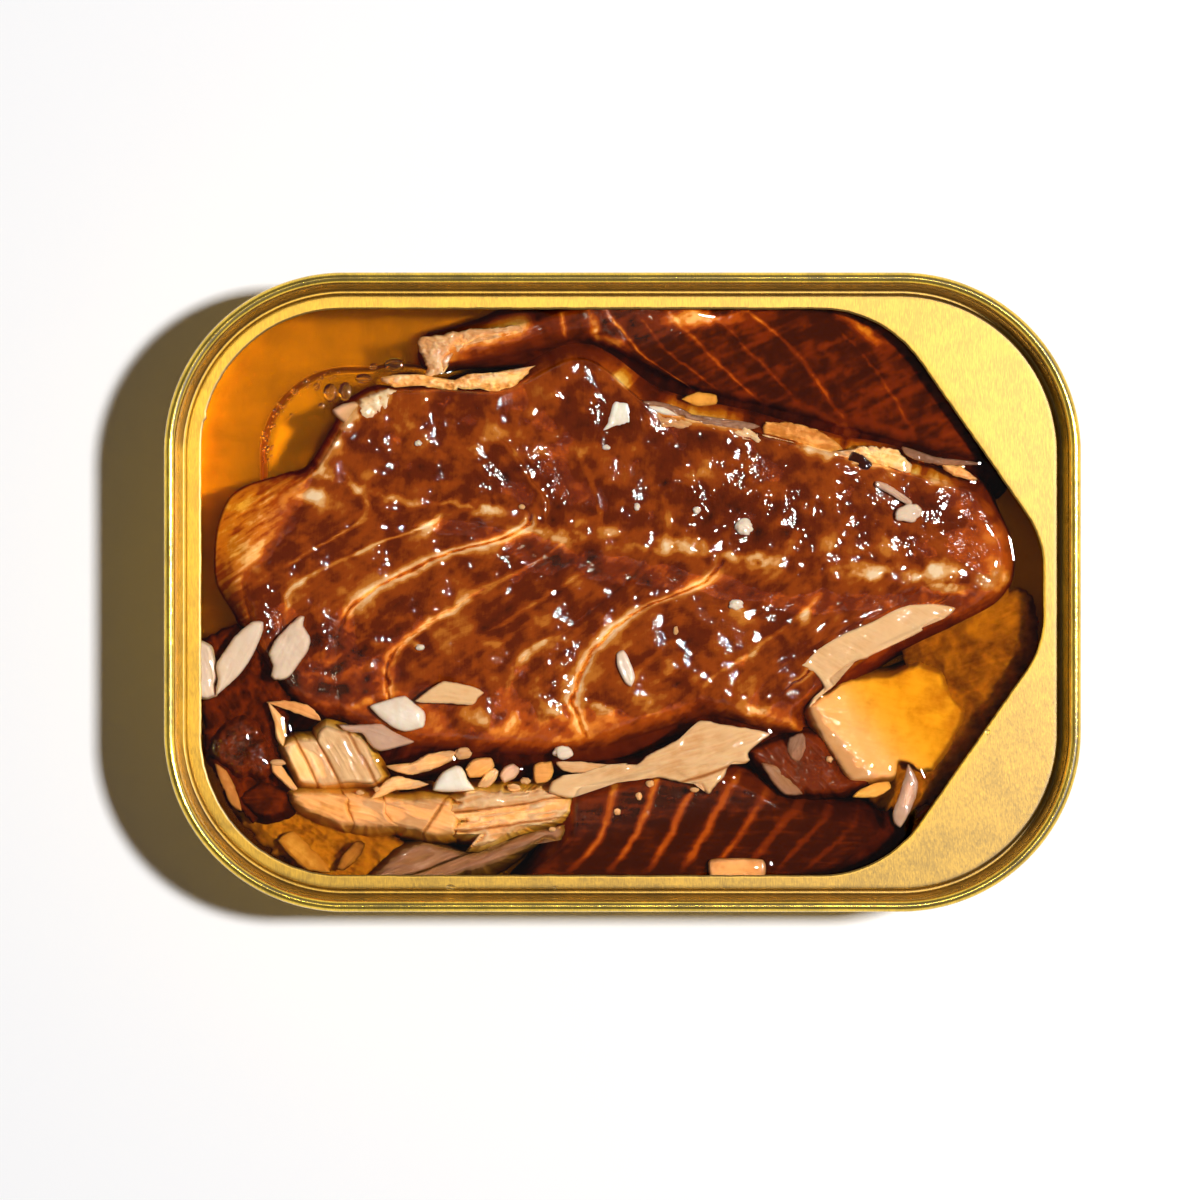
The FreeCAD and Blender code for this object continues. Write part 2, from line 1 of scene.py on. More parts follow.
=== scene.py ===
import bpy
import math
import numpy as np
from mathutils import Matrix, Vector


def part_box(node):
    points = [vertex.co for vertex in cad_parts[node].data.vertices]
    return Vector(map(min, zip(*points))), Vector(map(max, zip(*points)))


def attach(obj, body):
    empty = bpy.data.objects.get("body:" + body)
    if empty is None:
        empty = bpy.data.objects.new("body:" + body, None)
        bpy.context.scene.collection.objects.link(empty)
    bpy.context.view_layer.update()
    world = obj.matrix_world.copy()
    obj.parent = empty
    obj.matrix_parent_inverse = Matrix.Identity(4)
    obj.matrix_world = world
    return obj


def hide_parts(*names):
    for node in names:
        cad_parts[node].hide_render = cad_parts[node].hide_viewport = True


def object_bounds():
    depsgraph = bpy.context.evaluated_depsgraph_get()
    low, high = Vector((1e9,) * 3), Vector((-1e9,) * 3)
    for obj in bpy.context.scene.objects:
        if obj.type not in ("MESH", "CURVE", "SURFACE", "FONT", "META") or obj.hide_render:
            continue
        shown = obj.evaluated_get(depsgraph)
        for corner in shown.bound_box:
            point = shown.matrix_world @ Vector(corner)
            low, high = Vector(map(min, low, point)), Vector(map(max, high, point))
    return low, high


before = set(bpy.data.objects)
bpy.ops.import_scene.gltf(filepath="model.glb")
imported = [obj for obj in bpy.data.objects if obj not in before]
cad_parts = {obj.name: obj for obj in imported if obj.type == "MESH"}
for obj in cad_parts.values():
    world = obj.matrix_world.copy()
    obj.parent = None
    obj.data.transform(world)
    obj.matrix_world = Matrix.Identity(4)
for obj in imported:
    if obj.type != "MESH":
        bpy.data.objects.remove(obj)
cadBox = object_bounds()

# Lengths below are in millimetres and become metres when a mesh is made
mm = 0.001


# Numbers and curves

def tone(red, green, blue):
    # Display colour, 0 to 255, to the linear one that a shader takes
    shares = np.array([red, green, blue]) / 255
    linear = np.where(shares < 0.04045, shares / 12.92, ((shares + 0.055) / 1.055) ** 2.4)
    return (*linear, 1.0)


def curveThrough(points, places):
    # Catmull-Rom line: at each point it runs parallel to the chord of that point's two neighbours
    points = np.asarray(points, float)
    padded = np.concatenate([2 * points[:1] - points[1:2], points, 2 * points[-1:] - points[-2:-1]])
    places = np.asarray(places, float)
    step = np.clip(np.floor(places).astype(int), 0, len(points) - 2)
    t = (places - step).reshape((-1,) + (1,) * (points.ndim - 1))
    a, b, c, d = (padded[step + k] for k in range(4))
    return 0.5 * (2 * b + (c - a) * t + (2 * a - 5 * b + 4 * c - d) * t**2 + (3 * b - a - 3 * c + d) * t**3)


def ease(value, low, high):
    # 0 below low, 1 above high, and an S-shaped cubic between
    share = np.clip((value - low) / (high - low), 0, 1)
    return share * share * (3 - 2 * share)


def hump(value, middle, width):
    # Bell curve, 1 at its middle
    return np.exp(-((value - middle) / width) ** 2)


def band(value, low, high, soft):
    # 1 between low and high, easing off over soft on both sides
    return ease(value, low - soft, low + soft) * (1 - ease(value, high - soft, high + soft))


def latticeNoise(x, y, seed):
    # Random values at whole numbers, blended by a quintic, from -1 to 1
    values = np.random.default_rng(seed).uniform(-1, 1, (256, 256))
    ix, iy = np.floor(x).astype(int), np.floor(y).astype(int)
    fx, fy = x - ix, y - iy
    fx = fx**3 * (fx * (fx * 6 - 15) + 10)
    fy = fy**3 * (fy * (fy * 6 - 15) + 10)
    near = values[ix % 256, iy % 256] * (1 - fx) + values[(ix + 1) % 256, iy % 256] * fx
    far = values[ix % 256, (iy + 1) % 256] * (1 - fx) + values[(ix + 1) % 256, (iy + 1) % 256] * fx
    return near * (1 - fy) + far * fy


def layeredNoise(x, y, seed, layers=4):
    # Sum of noises, each twice as fine and half as strong as the last
    total = np.zeros(np.broadcast(x, y).shape)
    for layer in range(layers):
        finer = 2**layer
        total += latticeNoise(x * finer + 17.3 * layer, y * finer - 9.1 * layer, seed + layer) / finer
        x, y = 0.8 * x - 0.6 * y, 0.6 * x + 0.8 * y
    return total / 1.6


def spots(x, y, table, seed=3):
    # Soft ovals (x, y, half length, half width, turn in degrees, strength), their rims pulled about by noise
    x = x + 0.7 * layeredNoise(x / 1.6, y / 1.6, seed, 3)
    y = y + 0.7 * layeredNoise(x / 1.6, y / 1.6, seed + 20, 3)
    total = np.zeros(x.shape)
    for cx, cy, rx, ry, turn, strength in table:
        c, s = math.cos(math.radians(turn)), math.sin(math.radians(turn))
        along, across = (x - cx) * c + (y - cy) * s, (y - cy) * c - (x - cx) * s
        total = np.maximum(total, strength * np.exp(-((along / rx) ** 2 + (across / ry) ** 2) ** 1.2))
    return total


def blurred(mask, width):
    # Gaussian blur of a small map by Fourier transform, width in map steps
    rows, columns = mask.shape
    fy, fx = np.fft.fftfreq(rows)[:, None], np.fft.rfftfreq(columns)[None, :]
    kept = np.exp(-2 * (math.pi * width) ** 2 * (fx**2 + fy**2))
    return np.fft.irfft2(np.fft.rfft2(mask) * kept, mask.shape)


# Meshes

def addPiece(name, vertices, quads, material, nodes=(), caps=(), values=None):
    # Vertices in millimetres, quads as rows of four numbers, caps as single many-sided faces
    mesh = bpy.data.meshes.new(name)
    loops = np.concatenate([np.asarray(quads).ravel()] + [np.asarray(cap).ravel() for cap in caps])
    sizes = np.concatenate([np.full(len(quads), 4), [len(cap) for cap in caps]]).astype(int)
    mesh.vertices.add(len(vertices))
    mesh.vertices.foreach_set("co", (np.asarray(vertices) * mm).ravel())
    mesh.loops.add(len(loops))
    mesh.loops.foreach_set("vertex_index", loops.astype(np.int32))
    mesh.polygons.add(len(sizes))
    mesh.polygons.foreach_set("loop_start", np.concatenate([[0], np.cumsum(sizes)[:-1]]).astype(np.int32))
    mesh.polygons.foreach_set("use_smooth", np.full(len(sizes), True))
    for label, numbers in (values or {}).items():
        mesh.attributes.new(label, "FLOAT", "POINT").data.foreach_set("value", numbers.ravel())
    mesh.update(calc_edges=True)
    mesh.materials.append(material)
    piece = bpy.data.objects.new(name, mesh)
    bpy.context.scene.collection.objects.link(piece)
    if nodes:
        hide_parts(*nodes)
    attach(piece, "root")
    return piece


def gridQuads(rows, columns, roundRows=False, roundColumns=False):
    # Numbers of the corners of each square of a grid, closed on itself where asked
    index = np.arange(rows * columns).reshape(rows, columns)
    if roundRows:
        index = np.concatenate([index, index[:1]])
    if roundColumns:
        index = np.concatenate([index, index[:, :1]], axis=1)
    corners = [index[:-1, :-1], index[:-1, 1:], index[1:, 1:], index[1:, :-1]]
    return np.stack(corners, axis=-1).reshape(-1, 4)


def rimOf(rows, columns):
    # Numbers along the edge of a grid, anticlockwise
    index = np.arange(rows * columns).reshape(rows, columns)
    return np.concatenate([index[0, :-1], index[:-1, -1], index[-1, :0:-1], index[:0:-1, 0]])


def standingGrid(x, y, z, foot, flares):
    # A height grid with sides that spread, by a square root of the depth, down to a flat underside;
    # flares is how far each point of the rim spreads
    rows, columns = x.shape
    rim = rimOf(rows, columns)
    top = np.stack([x, y, z], axis=-1).reshape(-1, 3)
    ahead = np.roll(top[rim, :2], -4, axis=0) - np.roll(top[rim, :2], 4, axis=0)
    outward = np.stack([ahead[:, 1], -ahead[:, 0]], axis=-1)
    soft = 14
    weights = np.hanning(2 * soft + 1)
    weights /= weights.sum()

    def eased(values):
        wrapped = np.concatenate([values[-soft:], values, values[:soft]])
        return np.convolve(wrapped, weights, "valid")

    spread = eased(flares)
    outward = np.stack([eased(outward[:, 0]), eased(outward[:, 1])], axis=-1)
    outward /= np.linalg.norm(outward, axis=1)[:, None] + 1e-9
    vertices, quads, above = [top], [gridQuads(rows, columns)], rim
    count = len(top)
    for share in (0.12, 0.3, 0.55, 1.0):
        ring = top[rim].copy()
        ring[:, :2] += outward * (spread * math.sqrt(share))[:, None]
        ring[:, :2] = insideWall(ring[:, :2])
        ring[:, 2] += (foot - ring[:, 2]) * share
        low = np.arange(len(rim)) + count
        quads.append(np.stack([low, np.roll(low, -1), np.roll(above, -1), above], axis=-1))
        vertices.append(ring)
        count += len(rim)
        above = low
    return np.concatenate(vertices), np.concatenate(quads), above[::-1]


# Sizes of the tin, the same as its solids have

tin = {
    "length": (cadBox[1][0] - cadBox[0][0]) / mm,
    "width": (cadBox[1][1] - cadBox[0][1]) / mm,
    "height": (cadBox[1][2] - cadBox[0][2]) / mm,
    "cornerRadius": 21.4,
    "sheet": 0.25,
    "seamGap": 0.03,
    "seamHeight": 2.9,
    "hookLength": 2.0,
    "coverHookLength": 1.8,
    "countersink": 4.2,
    "footRadius": 1.9,
    "standingWidth": 9.8,
    "panelSlope": 0.4,
    "panelRise": 0.8,
    "panelBend": 0.5,
    "plateInset": 10.8,
    "dish": 0.62,
    "dishWidth": 7.2,
    "ringRise": 0.28,
    "ringSlope": 6.0,
    "chuckStraight": 2.1,
    "chuckDraft": 0.6,
    "grooveWidth": 0.55,
    "grooveDepth": 0.3,
    "ringLip": 4.2,
    "shoulderReach": 31.2,
    "noseHalfWidth": 6.4,
    "headspace": 5.9,
}
pressedMatt = 0.36  # matt value of the fully pressed parts of the sheet
layer = tin["sheet"] + tin["seamGap"]
halfLength = tin["length"] / 2 - 3 * layer
halfWidth = tin["width"] / 2 - 3 * layer
wallRadius = tin["cornerRadius"] - 3 * layer
panelTop = tin["height"] - tin["countersink"]
fleshTop = panelTop - 0.3  # nothing in the tin reaches higher
fleshInset = 0.8  # how far the flesh keeps from the wall
# painted shade: a standing piece's sides keep less of its paleness ring by ring towards the floor, darkest
# where they spread under the oil into the gaps between pieces
paintedSideShade = (0.6, 0.4, 0.3, 0.2)  # tone of a standing piece's sides, by rings from its top down
oilLevel = tin["height"] - tin["headspace"]
floorLevel = tin["sheet"] + tin["panelRise"] + 0.05


def insideWall(points):
    # Draws points that lie too near the wall's inner face away from it, along the wall's own normal
    corner = np.array([halfLength - wallRadius, halfWidth - wallRadius])
    centre = np.clip(points, -corner, corner)
    away = points - centre
    reach = np.linalg.norm(away, axis=1)[:, None] + 1e-9
    return centre + away * np.minimum(1, (wallRadius - fleshInset) / reach)


# Materials

def newMaterial(name):
    material = bpy.data.materials.new(name)
    material.use_nodes = True
    nodes = material.node_tree.nodes
    return material, nodes, material.node_tree.links, nodes["Principled BSDF"]


def addNode(nodes, kind, **settings):
    node = nodes.new(kind)
    for key, value in settings.items():
        if key in node.inputs:
            node.inputs[key].default_value = value
        else:
            setattr(node, key, value)
    return node


def setInputs(node, values):
    for label, value in values.items():
        node.inputs[label].default_value = value


def join(links, *wires):
    # Each wire is (from node, its output, to node, its input)
    for source, output, target, entry in wires:
        links.new(source.outputs[output], target.inputs[entry])


def fillRamp(ramp, stops):
    # stops are (place, colour); a new ramp already has two
    for index, (at, colour) in enumerate(stops):
        stop = ramp.color_ramp.elements[index] if index < 2 else ramp.color_ramp.elements.new(at)
        stop.position, stop.color = at, colour


def makeGroup(name, inputs, outputs):
    # An empty shader group with named number inputs; outputs are (name, socket type)
    group = bpy.data.node_groups.new(name, "ShaderNodeTree")
    for label, value in inputs:
        socket = group.interface.new_socket(label, in_out="INPUT", socket_type="NodeSocketFloat")
        socket.default_value = value
    for label, kind in outputs:
        group.interface.new_socket(label, in_out="OUTPUT", socket_type=kind)
    return group, group.nodes.new("NodeGroupInput"), group.nodes.new("NodeGroupOutput")


def placeGroup(nodes, group, **values):
    node = nodes.new("ShaderNodeGroup")
    node.node_tree = group
    setInputs(node, values)
    return node


def makeOilFilm():
    # Wet beading: two sizes of soft bumps, strong only in patches, for the clustered glints of oily flesh
    group, entry, result = makeGroup("oilFilm", [("Bead Scale", 2800.0), ("Patch Scale", 300.0),
                                                 ("Depth", 1.0), ("Least", 0.3)],
                                     [("Normal", "NodeSocketVector"), ("Mask", "NodeSocketFloat")])
    nodes, links = group.nodes, group.links
    place = nodes.new("ShaderNodeTexCoord")
    patch = addNode(nodes, "ShaderNodeTexNoise", Detail=2.0)
    bead = addNode(nodes, "ShaderNodeTexNoise", Detail=1.0, Roughness=0.45)
    limits = addNode(nodes, "ShaderNodeMapRange", **{"From Min": 0.45, "From Max": 0.6})
    deep = addNode(nodes, "ShaderNodeMath", operation="MULTIPLY")
    bump = addNode(nodes, "ShaderNodeBump", Strength=1.0, Distance=0.00008)
    join(links, (place, "Object", patch, "Vector"), (place, "Object", bead, "Vector"),
         (entry, "Patch Scale", patch, "Scale"), (entry, "Bead Scale", bead, "Scale"),
         (patch, "Fac", limits, "Value"), (entry, "Least", limits, "To Min"), (limits, "Result", deep, 0),
         (entry, "Depth", deep, 1), (deep, "Value", bump, "Strength"), (bead, "Fac", bump, "Height"),
         (bump, "Normal", result, "Normal"), (limits, "Result", result, "Mask"))
    return group


def makeTinGrain():
    # Drawn grain of lacquered tin plate: noise stretched along Y, with faint broad mottling
    group, entry, result = makeGroup("tinGrain", [("Depth", 0.3), ("Roughness", 0.2), ("Spread", 0.1)],
                                     [("Normal", "NodeSocketVector"), ("Roughness", "NodeSocketFloat"),
                                      ("Mask", "NodeSocketFloat")])
    nodes, links = group.nodes, group.links
    place = nodes.new("ShaderNodeTexCoord")
    turned = addNode(nodes, "ShaderNodeMapping", Scale=(7000.0, 1300.0, 2000.0))
    grain = addNode(nodes, "ShaderNodeTexNoise", Scale=1.0, Detail=3.0)
    mottle = addNode(nodes, "ShaderNodeTexNoise", Scale=300.0, Detail=3.0)
    bump = addNode(nodes, "ShaderNodeBump", Distance=0.00003)
    spread = addNode(nodes, "ShaderNodeMath", operation="MULTIPLY_ADD")
    both = addNode(nodes, "ShaderNodeMath", operation="ADD")
    cloudy = addNode(nodes, "ShaderNodeMapRange", **{"From Min": 0.78, "From Max": 1.22})
    join(links, (place, "Object", turned, "Vector"), (turned, "Vector", grain, "Vector"),
         (place, "Object", mottle, "Vector"), (grain, "Fac", bump, "Height"),
         (entry, "Depth", bump, "Strength"), (mottle, "Fac", spread, 0), (entry, "Spread", spread, 1),
         (entry, "Roughness", spread, 2), (bump, "Normal", result, "Normal"),
         (spread, "Value", result, "Roughness"), (mottle, "Fac", both, 0), (grain, "Fac", both, 1),
         (both, "Value", cloudy, "Value"), (cloudy, "Result", result, "Mask"))
    return group


oilFilm = makeOilFilm()
tinGrain = makeTinGrain()


def makeGold(name, colour, pressed, shade, roughness, depth, metal, brushed=0.0):
    # Gold lacquer over tin plate; a piece's own matt value roughens its pressed parts and takes them to
    # the pressed colour. The sheet was rolled along Y, so a brushed one spreads light along X.
    material, nodes, links, surface = newMaterial(name)
    grain = placeGroup(nodes, tinGrain, Depth=depth, Roughness=roughness - 0.04)
    blend = addNode(nodes, "ShaderNodeMix", data_type="RGBA")
    setInputs(blend, {"A": tuple(shade * c for c in colour[:3]) + (1.0,), "B": colour})
    links.new(grain.outputs["Mask"], blend.inputs["Factor"])
    matt = addNode(nodes, "ShaderNodeAttribute", attribute_name="matt")
    duller = addNode(nodes, "ShaderNodeMath", operation="MULTIPLY")
    duller.inputs[1].default_value = 1 / pressedMatt
    dulled = addNode(nodes, "ShaderNodeMix", data_type="RGBA", blend_type="MULTIPLY")
    dulled.inputs["B"].default_value = pressed
    join(links, (matt, "Fac", duller, 0), (duller, "Value", dulled, "Factor"),
         (blend, "Result", dulled, "A"), (dulled, "Result", surface, "Base Color"))
    rougher = addNode(nodes, "ShaderNodeMath", operation="ADD")
    join(links, (grain, "Roughness", rougher, 0), (matt, "Fac", rougher, 1),
         (rougher, "Value", surface, "Roughness"), (grain, "Normal", surface, "Normal"))
    spreadWay = addNode(nodes, "ShaderNodeCombineXYZ", X=1.0)
    links.new(spreadWay.outputs["Vector"], surface.inputs["Tangent"])
    setInputs(surface, {"Anisotropic": brushed, "Metallic": metal, "Coat Weight": 0.7,
                        "Coat Roughness": 0.36, "Coat IOR": 1.65})
    return material


def makeStreaks():
    # Fibres: noise stretched along a piece, read from its own along and across lengths
    group, entry, result = makeGroup("streaks", [("Fineness", 3200.0), ("Stretch", 0.1)],
                                     [("Value", "NodeSocketFloat")])
    nodes, links = group.nodes, group.links
    along = addNode(nodes, "ShaderNodeAttribute", attribute_name="along")
    across = addNode(nodes, "ShaderNodeAttribute", attribute_name="across")
    shortened = addNode(nodes, "ShaderNodeMath", operation="MULTIPLY")
    joined = nodes.new("ShaderNodeCombineXYZ")
    noise = addNode(nodes, "ShaderNodeTexNoise", Detail=3.0, Roughness=0.6)
    join(links, (along, "Fac", shortened, 0), (entry, "Stretch", shortened, 1),
         (shortened, "Value", joined, "X"), (across, "Fac", joined, "Y"),
         (joined, "Vector", noise, "Vector"), (entry, "Fineness", noise, "Scale"),
         (noise, "Fac", result, "Value"))
    return group


streaks = makeStreaks()


def makeFlesh(name, stops, film, fleck, grain, glow=0.12):
    # Oily flesh: a ramp read by the piece's paleness, which holds its own tone together with the painted
    # shade and highlights set on it, broken up by noise and by fibres. stops are (place, colour). The wet
    # film shines only where the flesh stands out of the oil.
    material, nodes, links, surface = newMaterial(name)
    place = nodes.new("ShaderNodeTexCoord")
    pale = addNode(nodes, "ShaderNodeAttribute", attribute_name="pale")
    blotch = addNode(nodes, "ShaderNodeTexNoise", Scale=520.0, Detail=5.0, Roughness=0.6)
    fibres = placeGroup(nodes, streaks)
    spread = addNode(nodes, "ShaderNodeMath", operation="MULTIPLY_ADD")
    spread.inputs[1].default_value = fleck
    spread.inputs[2].default_value = -fleck / 2 - grain / 2
    streaked = addNode(nodes, "ShaderNodeMath", operation="MULTIPLY_ADD")
    streaked.inputs[1].default_value = grain
    summed = addNode(nodes, "ShaderNodeMath", operation="ADD")
    ramp = nodes.new("ShaderNodeValToRGB")
    ramp.color_ramp.interpolation = "EASE"
    fillRamp(ramp, stops)
    wet = placeGroup(nodes, oilFilm, **film)
    ribbed = addNode(nodes, "ShaderNodeBump", Distance=0.00003, Strength=0.4)
    join(links, (place, "Object", blotch, "Vector"), (blotch, "Fac", spread, 0),
         (fibres, "Value", streaked, 0), (spread, "Value", streaked, 2), (streaked, "Value", summed, 0),
         (pale, "Fac", summed, 1), (summed, "Value", ramp, "Fac"), (fibres, "Value", ribbed, "Height"),
         (ribbed, "Normal", surface, "Normal"), (ramp, "Color", surface, "Base Color"),
         (wet, "Normal", surface, "Coat Normal"))
    height = nodes.new("ShaderNodeSeparateXYZ")
    bare = addNode(nodes, "ShaderNodeMapRange",
                   **{"From Min": (oilLevel - 0.1) * mm, "From Max": (oilLevel + 0.15) * mm})
    join(links, (place, "Object", height, "Vector"), (height, "Z", bare, "Value"),
         (bare, "Result", surface, "Coat Weight"))
    setInputs(surface, {"Roughness": 0.6, "Specular IOR Level": 0.0, "Subsurface Weight": glow,
                        "Subsurface Radius": (1.0, 0.4, 0.15), "Subsurface Scale": 0.0012,
                        "Coat Roughness": 0.045, "Coat IOR": 1.6})
    return material


def makeOilMaterial():
    # Clear amber oil: glass with the light it swallows set by depth, and no shadow of its own
    material, nodes, links, surface = newMaterial("amberOil")
    setInputs(surface, {"Base Color": (1, 1, 1, 1), "Roughness": 0.0, "IOR": 1.47,
                        "Transmission Weight": 1.0})
    path = nodes.new("ShaderNodeLightPath")
    clear = nodes.new("ShaderNodeBsdfTransparent")
    both = nodes.new("ShaderNodeMixShader")
    depth = addNode(nodes, "ShaderNodeVolumeAbsorption", Density=500.0)
    depth.inputs["Color"].default_value = (0.99, 0.94, 0.05, 1.0)
    output = nodes["Material Output"]
    join(links, (path, "Is Shadow Ray", both, "Fac"), (surface, "BSDF", both, 1), (clear, "BSDF", both, 2),
         (both, "Shader", output, "Surface"), (depth, "Volume", output, "Volume"))
    return material


goldBody = makeGold("goldBody", (0.95, 0.57, 0.02, 1.0), (0.44, 0.43, 0.42, 1.0), 0.84, 0.2, 0.2, 0.88)
goldLid = makeGold("goldLid", (1.0, 0.64, 0.045, 1.0), (0.43, 0.375, 0.33, 1.0), 0.62, 0.14, 0.8, 0.92, 0.9)
glazeStops = [
    (0.0, tone(50, 12, 0)),
    (0.22, tone(98, 30, 0)),
    (0.42, tone(146, 60, 4)),
    (0.6, tone(190, 108, 30)),
    (0.78, tone(226, 166, 100)),
    (1.0, tone(243, 208, 162)),
]
paleStops = [
    (0.0, tone(88, 44, 14)),
    (0.3, tone(168, 104, 52)),
    (0.55, tone(216, 152, 92)),
    (0.78, tone(238, 188, 132)),
    (1.0, tone(250, 218, 172)),
]
whiteStops = [
    (0.0, tone(134, 92, 66)),
    (0.4, tone(204, 160, 130)),
    (0.7, tone(232, 202, 172)),
    (1.0, tone(252, 240, 220)),
]
greyStops = [
    (0.0, tone(66, 38, 18)),
    (0.4, tone(138, 92, 64)),
    (0.7, tone(178, 134, 106)),
    (1.0, tone(212, 176, 148)),
]
glazedFlesh = makeFlesh("glazedFlesh", glazeStops, {"Depth": 1.0}, 0.36, 0.1)
paleFlesh = makeFlesh("paleFlesh", paleStops, {"Depth": 0.9}, 0.16, 0.2, 0.2)
whiteFlesh = makeFlesh("whiteFlesh", whiteStops, {"Depth": 0.7}, 0.16, 0.05, 0.3)
greyFlesh = makeFlesh("greyFlesh", greyStops, {"Depth": 0.8}, 0.16, 0.22, 0.2)
softFlesh = makeFlesh("softFlesh", paleStops, {"Depth": 0.5}, 0.3, 0.06, 0.25)
amberOil = makeOilMaterial()
print("materials made")


# The tin: sheet profiles carried round its oblong plan

def roundOblong(count):
    # Centres of curvature and outward directions at count places round the wall, anticlockwise from +X
    cornerX, cornerY = halfLength - wallRadius, halfWidth - wallRadius
    runs = []
    for quarter, (cx, cy) in enumerate([(1, 1), (-1, 1), (-1, -1), (1, -1)]):
        turn = quarter * math.pi / 2
        angles = np.linspace(turn, turn + math.pi / 2, count // 8, endpoint=False)
        bend = np.stack([np.full(len(angles), cx * cornerX), np.full(len(angles), cy * cornerY), angles],
                        axis=-1)
        end = turn + math.pi / 2
        nx, ny = [(-1, 1), (-1, -1), (1, -1), (1, 1)][quarter]
        share = np.linspace(0, 1, count // 8, endpoint=False)
        start, stop = np.array([cx * cornerX, cy * cornerY]), np.array([nx * cornerX, ny * cornerY])
        straight = start + (stop - start) * share[:, None]
        runs += [bend, np.column_stack([straight, np.full(len(share), end)])]
    path = np.concatenate(runs)
    return path[:, :2], np.stack([np.cos(path[:, 2]), np.sin(path[:, 2])], axis=-1)


pathCount = 640
pathCentre, pathOut = roundOblong(pathCount)


def ringAt(outside):
    # The oblong drawn outside the wall by a distance, or inside it where that is negative
    return pathCentre + (wallRadius + outside) * pathOut


def bentLine(corners, bends, shift, steps=7):
    # A line through corners with rounded bends, moved to its left by shift, as points
    points = np.asarray(corners, float)
    ways = np.diff(points, axis=0)
    ways /= np.linalg.norm(ways, axis=1)[:, None]
    lefts = np.stack([-ways[:, 1], ways[:, 0]], axis=-1)
    inner = (lefts[:-1] + lefts[1:]) / (1 + (lefts[:-1] * lefts[1:]).sum(axis=1))[:, None]
    moved = np.concatenate([points[:1] + lefts[:1] * shift, points[1:-1] + inner * shift,
                            points[-1:] + lefts[-1:] * shift])
    result = [moved[:1]]
    for index, bend in enumerate(bends):
        corner, way, following = moved[index + 1], ways[index], ways[index + 1]
        cross = way[0] * following[1] - way[1] * following[0]
        turn = math.acos(max(-1.0, min(1.0, way.dot(following))))
        radius = bend - math.copysign(1, cross) * shift
        reach = radius * math.tan(turn / 2)
        left = np.array([-way[1], way[0]]) * math.copysign(1, cross)
        hub = corner - way * reach + left * radius
        angles = np.linspace(0, turn, steps)[:, None]
        result.append(hub + radius * (np.sin(angles) * way - np.cos(angles) * left))
    return np.concatenate(result + [moved[-1:]])


def sweepRings(rings):
    # Rings, each count places round, joined into one skin
    vertices = np.concatenate(rings)
    return vertices, gridQuads(len(rings), pathCount, roundColumns=True)


def ringsOf(profile):
    # One ring for each (distance outside the wall, height) of a profile
    return [np.column_stack([ringAt(n), np.full(pathCount, z)]) for n, z in profile]


def shrunk(ring, shares):
    # Copies of a ring drawn in towards the middle
    return [ring * np.array([share, share, 1.0]) for share in shares]


def footLine(rise=0.0):
    # The floor beyond the wall: standing ring, a short slope and the raised plate; rise lifts it at the wall
    wall = -tin["sheet"] / 2
    slope = wall - tin["standingWidth"]
    middle = tin["sheet"] / 2
    plate = middle + tin["panelRise"]
    return [(wall, middle + rise), (wall - tin["ringSlope"], middle), (slope, middle),
            (slope - tin["panelSlope"], plate), (-tin["plateInset"], plate)]


footBends = [tin["footRadius"], 110.0, tin["panelBend"], tin["panelBend"]]
plateShares = np.linspace(1, 0.02, 12)[1:]


def dishRings(rise):
    # Rings of the plate from its edge in to its middle, sinking evenly over the dish's width
    rings = []
    for inset in np.arange(0.8, 7.3, 0.8):
        low = tin["panelRise"] + rise - tin["dish"] * inset / tin["dishWidth"]
        rings.append(np.column_stack([ringAt(-tin["plateInset"] - inset), np.full(pathCount, low)]))
    return rings + shrunk(rings[-1], plateShares)


def makeTinBody():
    # Both faces of one bent sheet, from its middle out, up to the flange, and back inside
    hook = 1.5 * tin["sheet"] + 2 * tin["seamGap"]
    flange = tin["height"] - 1.5 * tin["sheet"] - tin["seamGap"]
    bend = layer * 0.97
    corners = [(hook, tin["height"] - tin["hookLength"]), (hook, flange), (-tin["sheet"] / 2, flange)]
    bends = [bend, bend] + footBends
    foot = footLine()  # flat underneath, so its second corner and bend are left out
    outer = ringsOf(bentLine(corners + foot[:1] + foot[2:], bends[:3] + bends[4:], tin["sheet"] / 2))
    inner = ringsOf(bentLine(corners + footLine(tin["ringRise"]), bends, -tin["sheet"] / 2))
    # the line runs hook, flange, wall, foot, so its left side is the outside of the tin
    plate, under = dishRings(tin["sheet"]), dishRings(0.0)
    rings = plate[::-1] + inner[::-1] + outer + under
    vertices, quads = sweepRings(rings)
    last = len(rings) - 1
    caps = [np.arange(pathCount), np.arange(pathCount)[::-1] + last * pathCount]
    quads, caps = quads[:, ::-1], [cap[::-1] for cap in caps]
    pressed = np.zeros(len(rings))
    pressed[len(plate) + 2:len(plate) + 14] = 0.3
    matt = np.repeat(pressed, pathCount)
    return vertices, quads, caps, matt


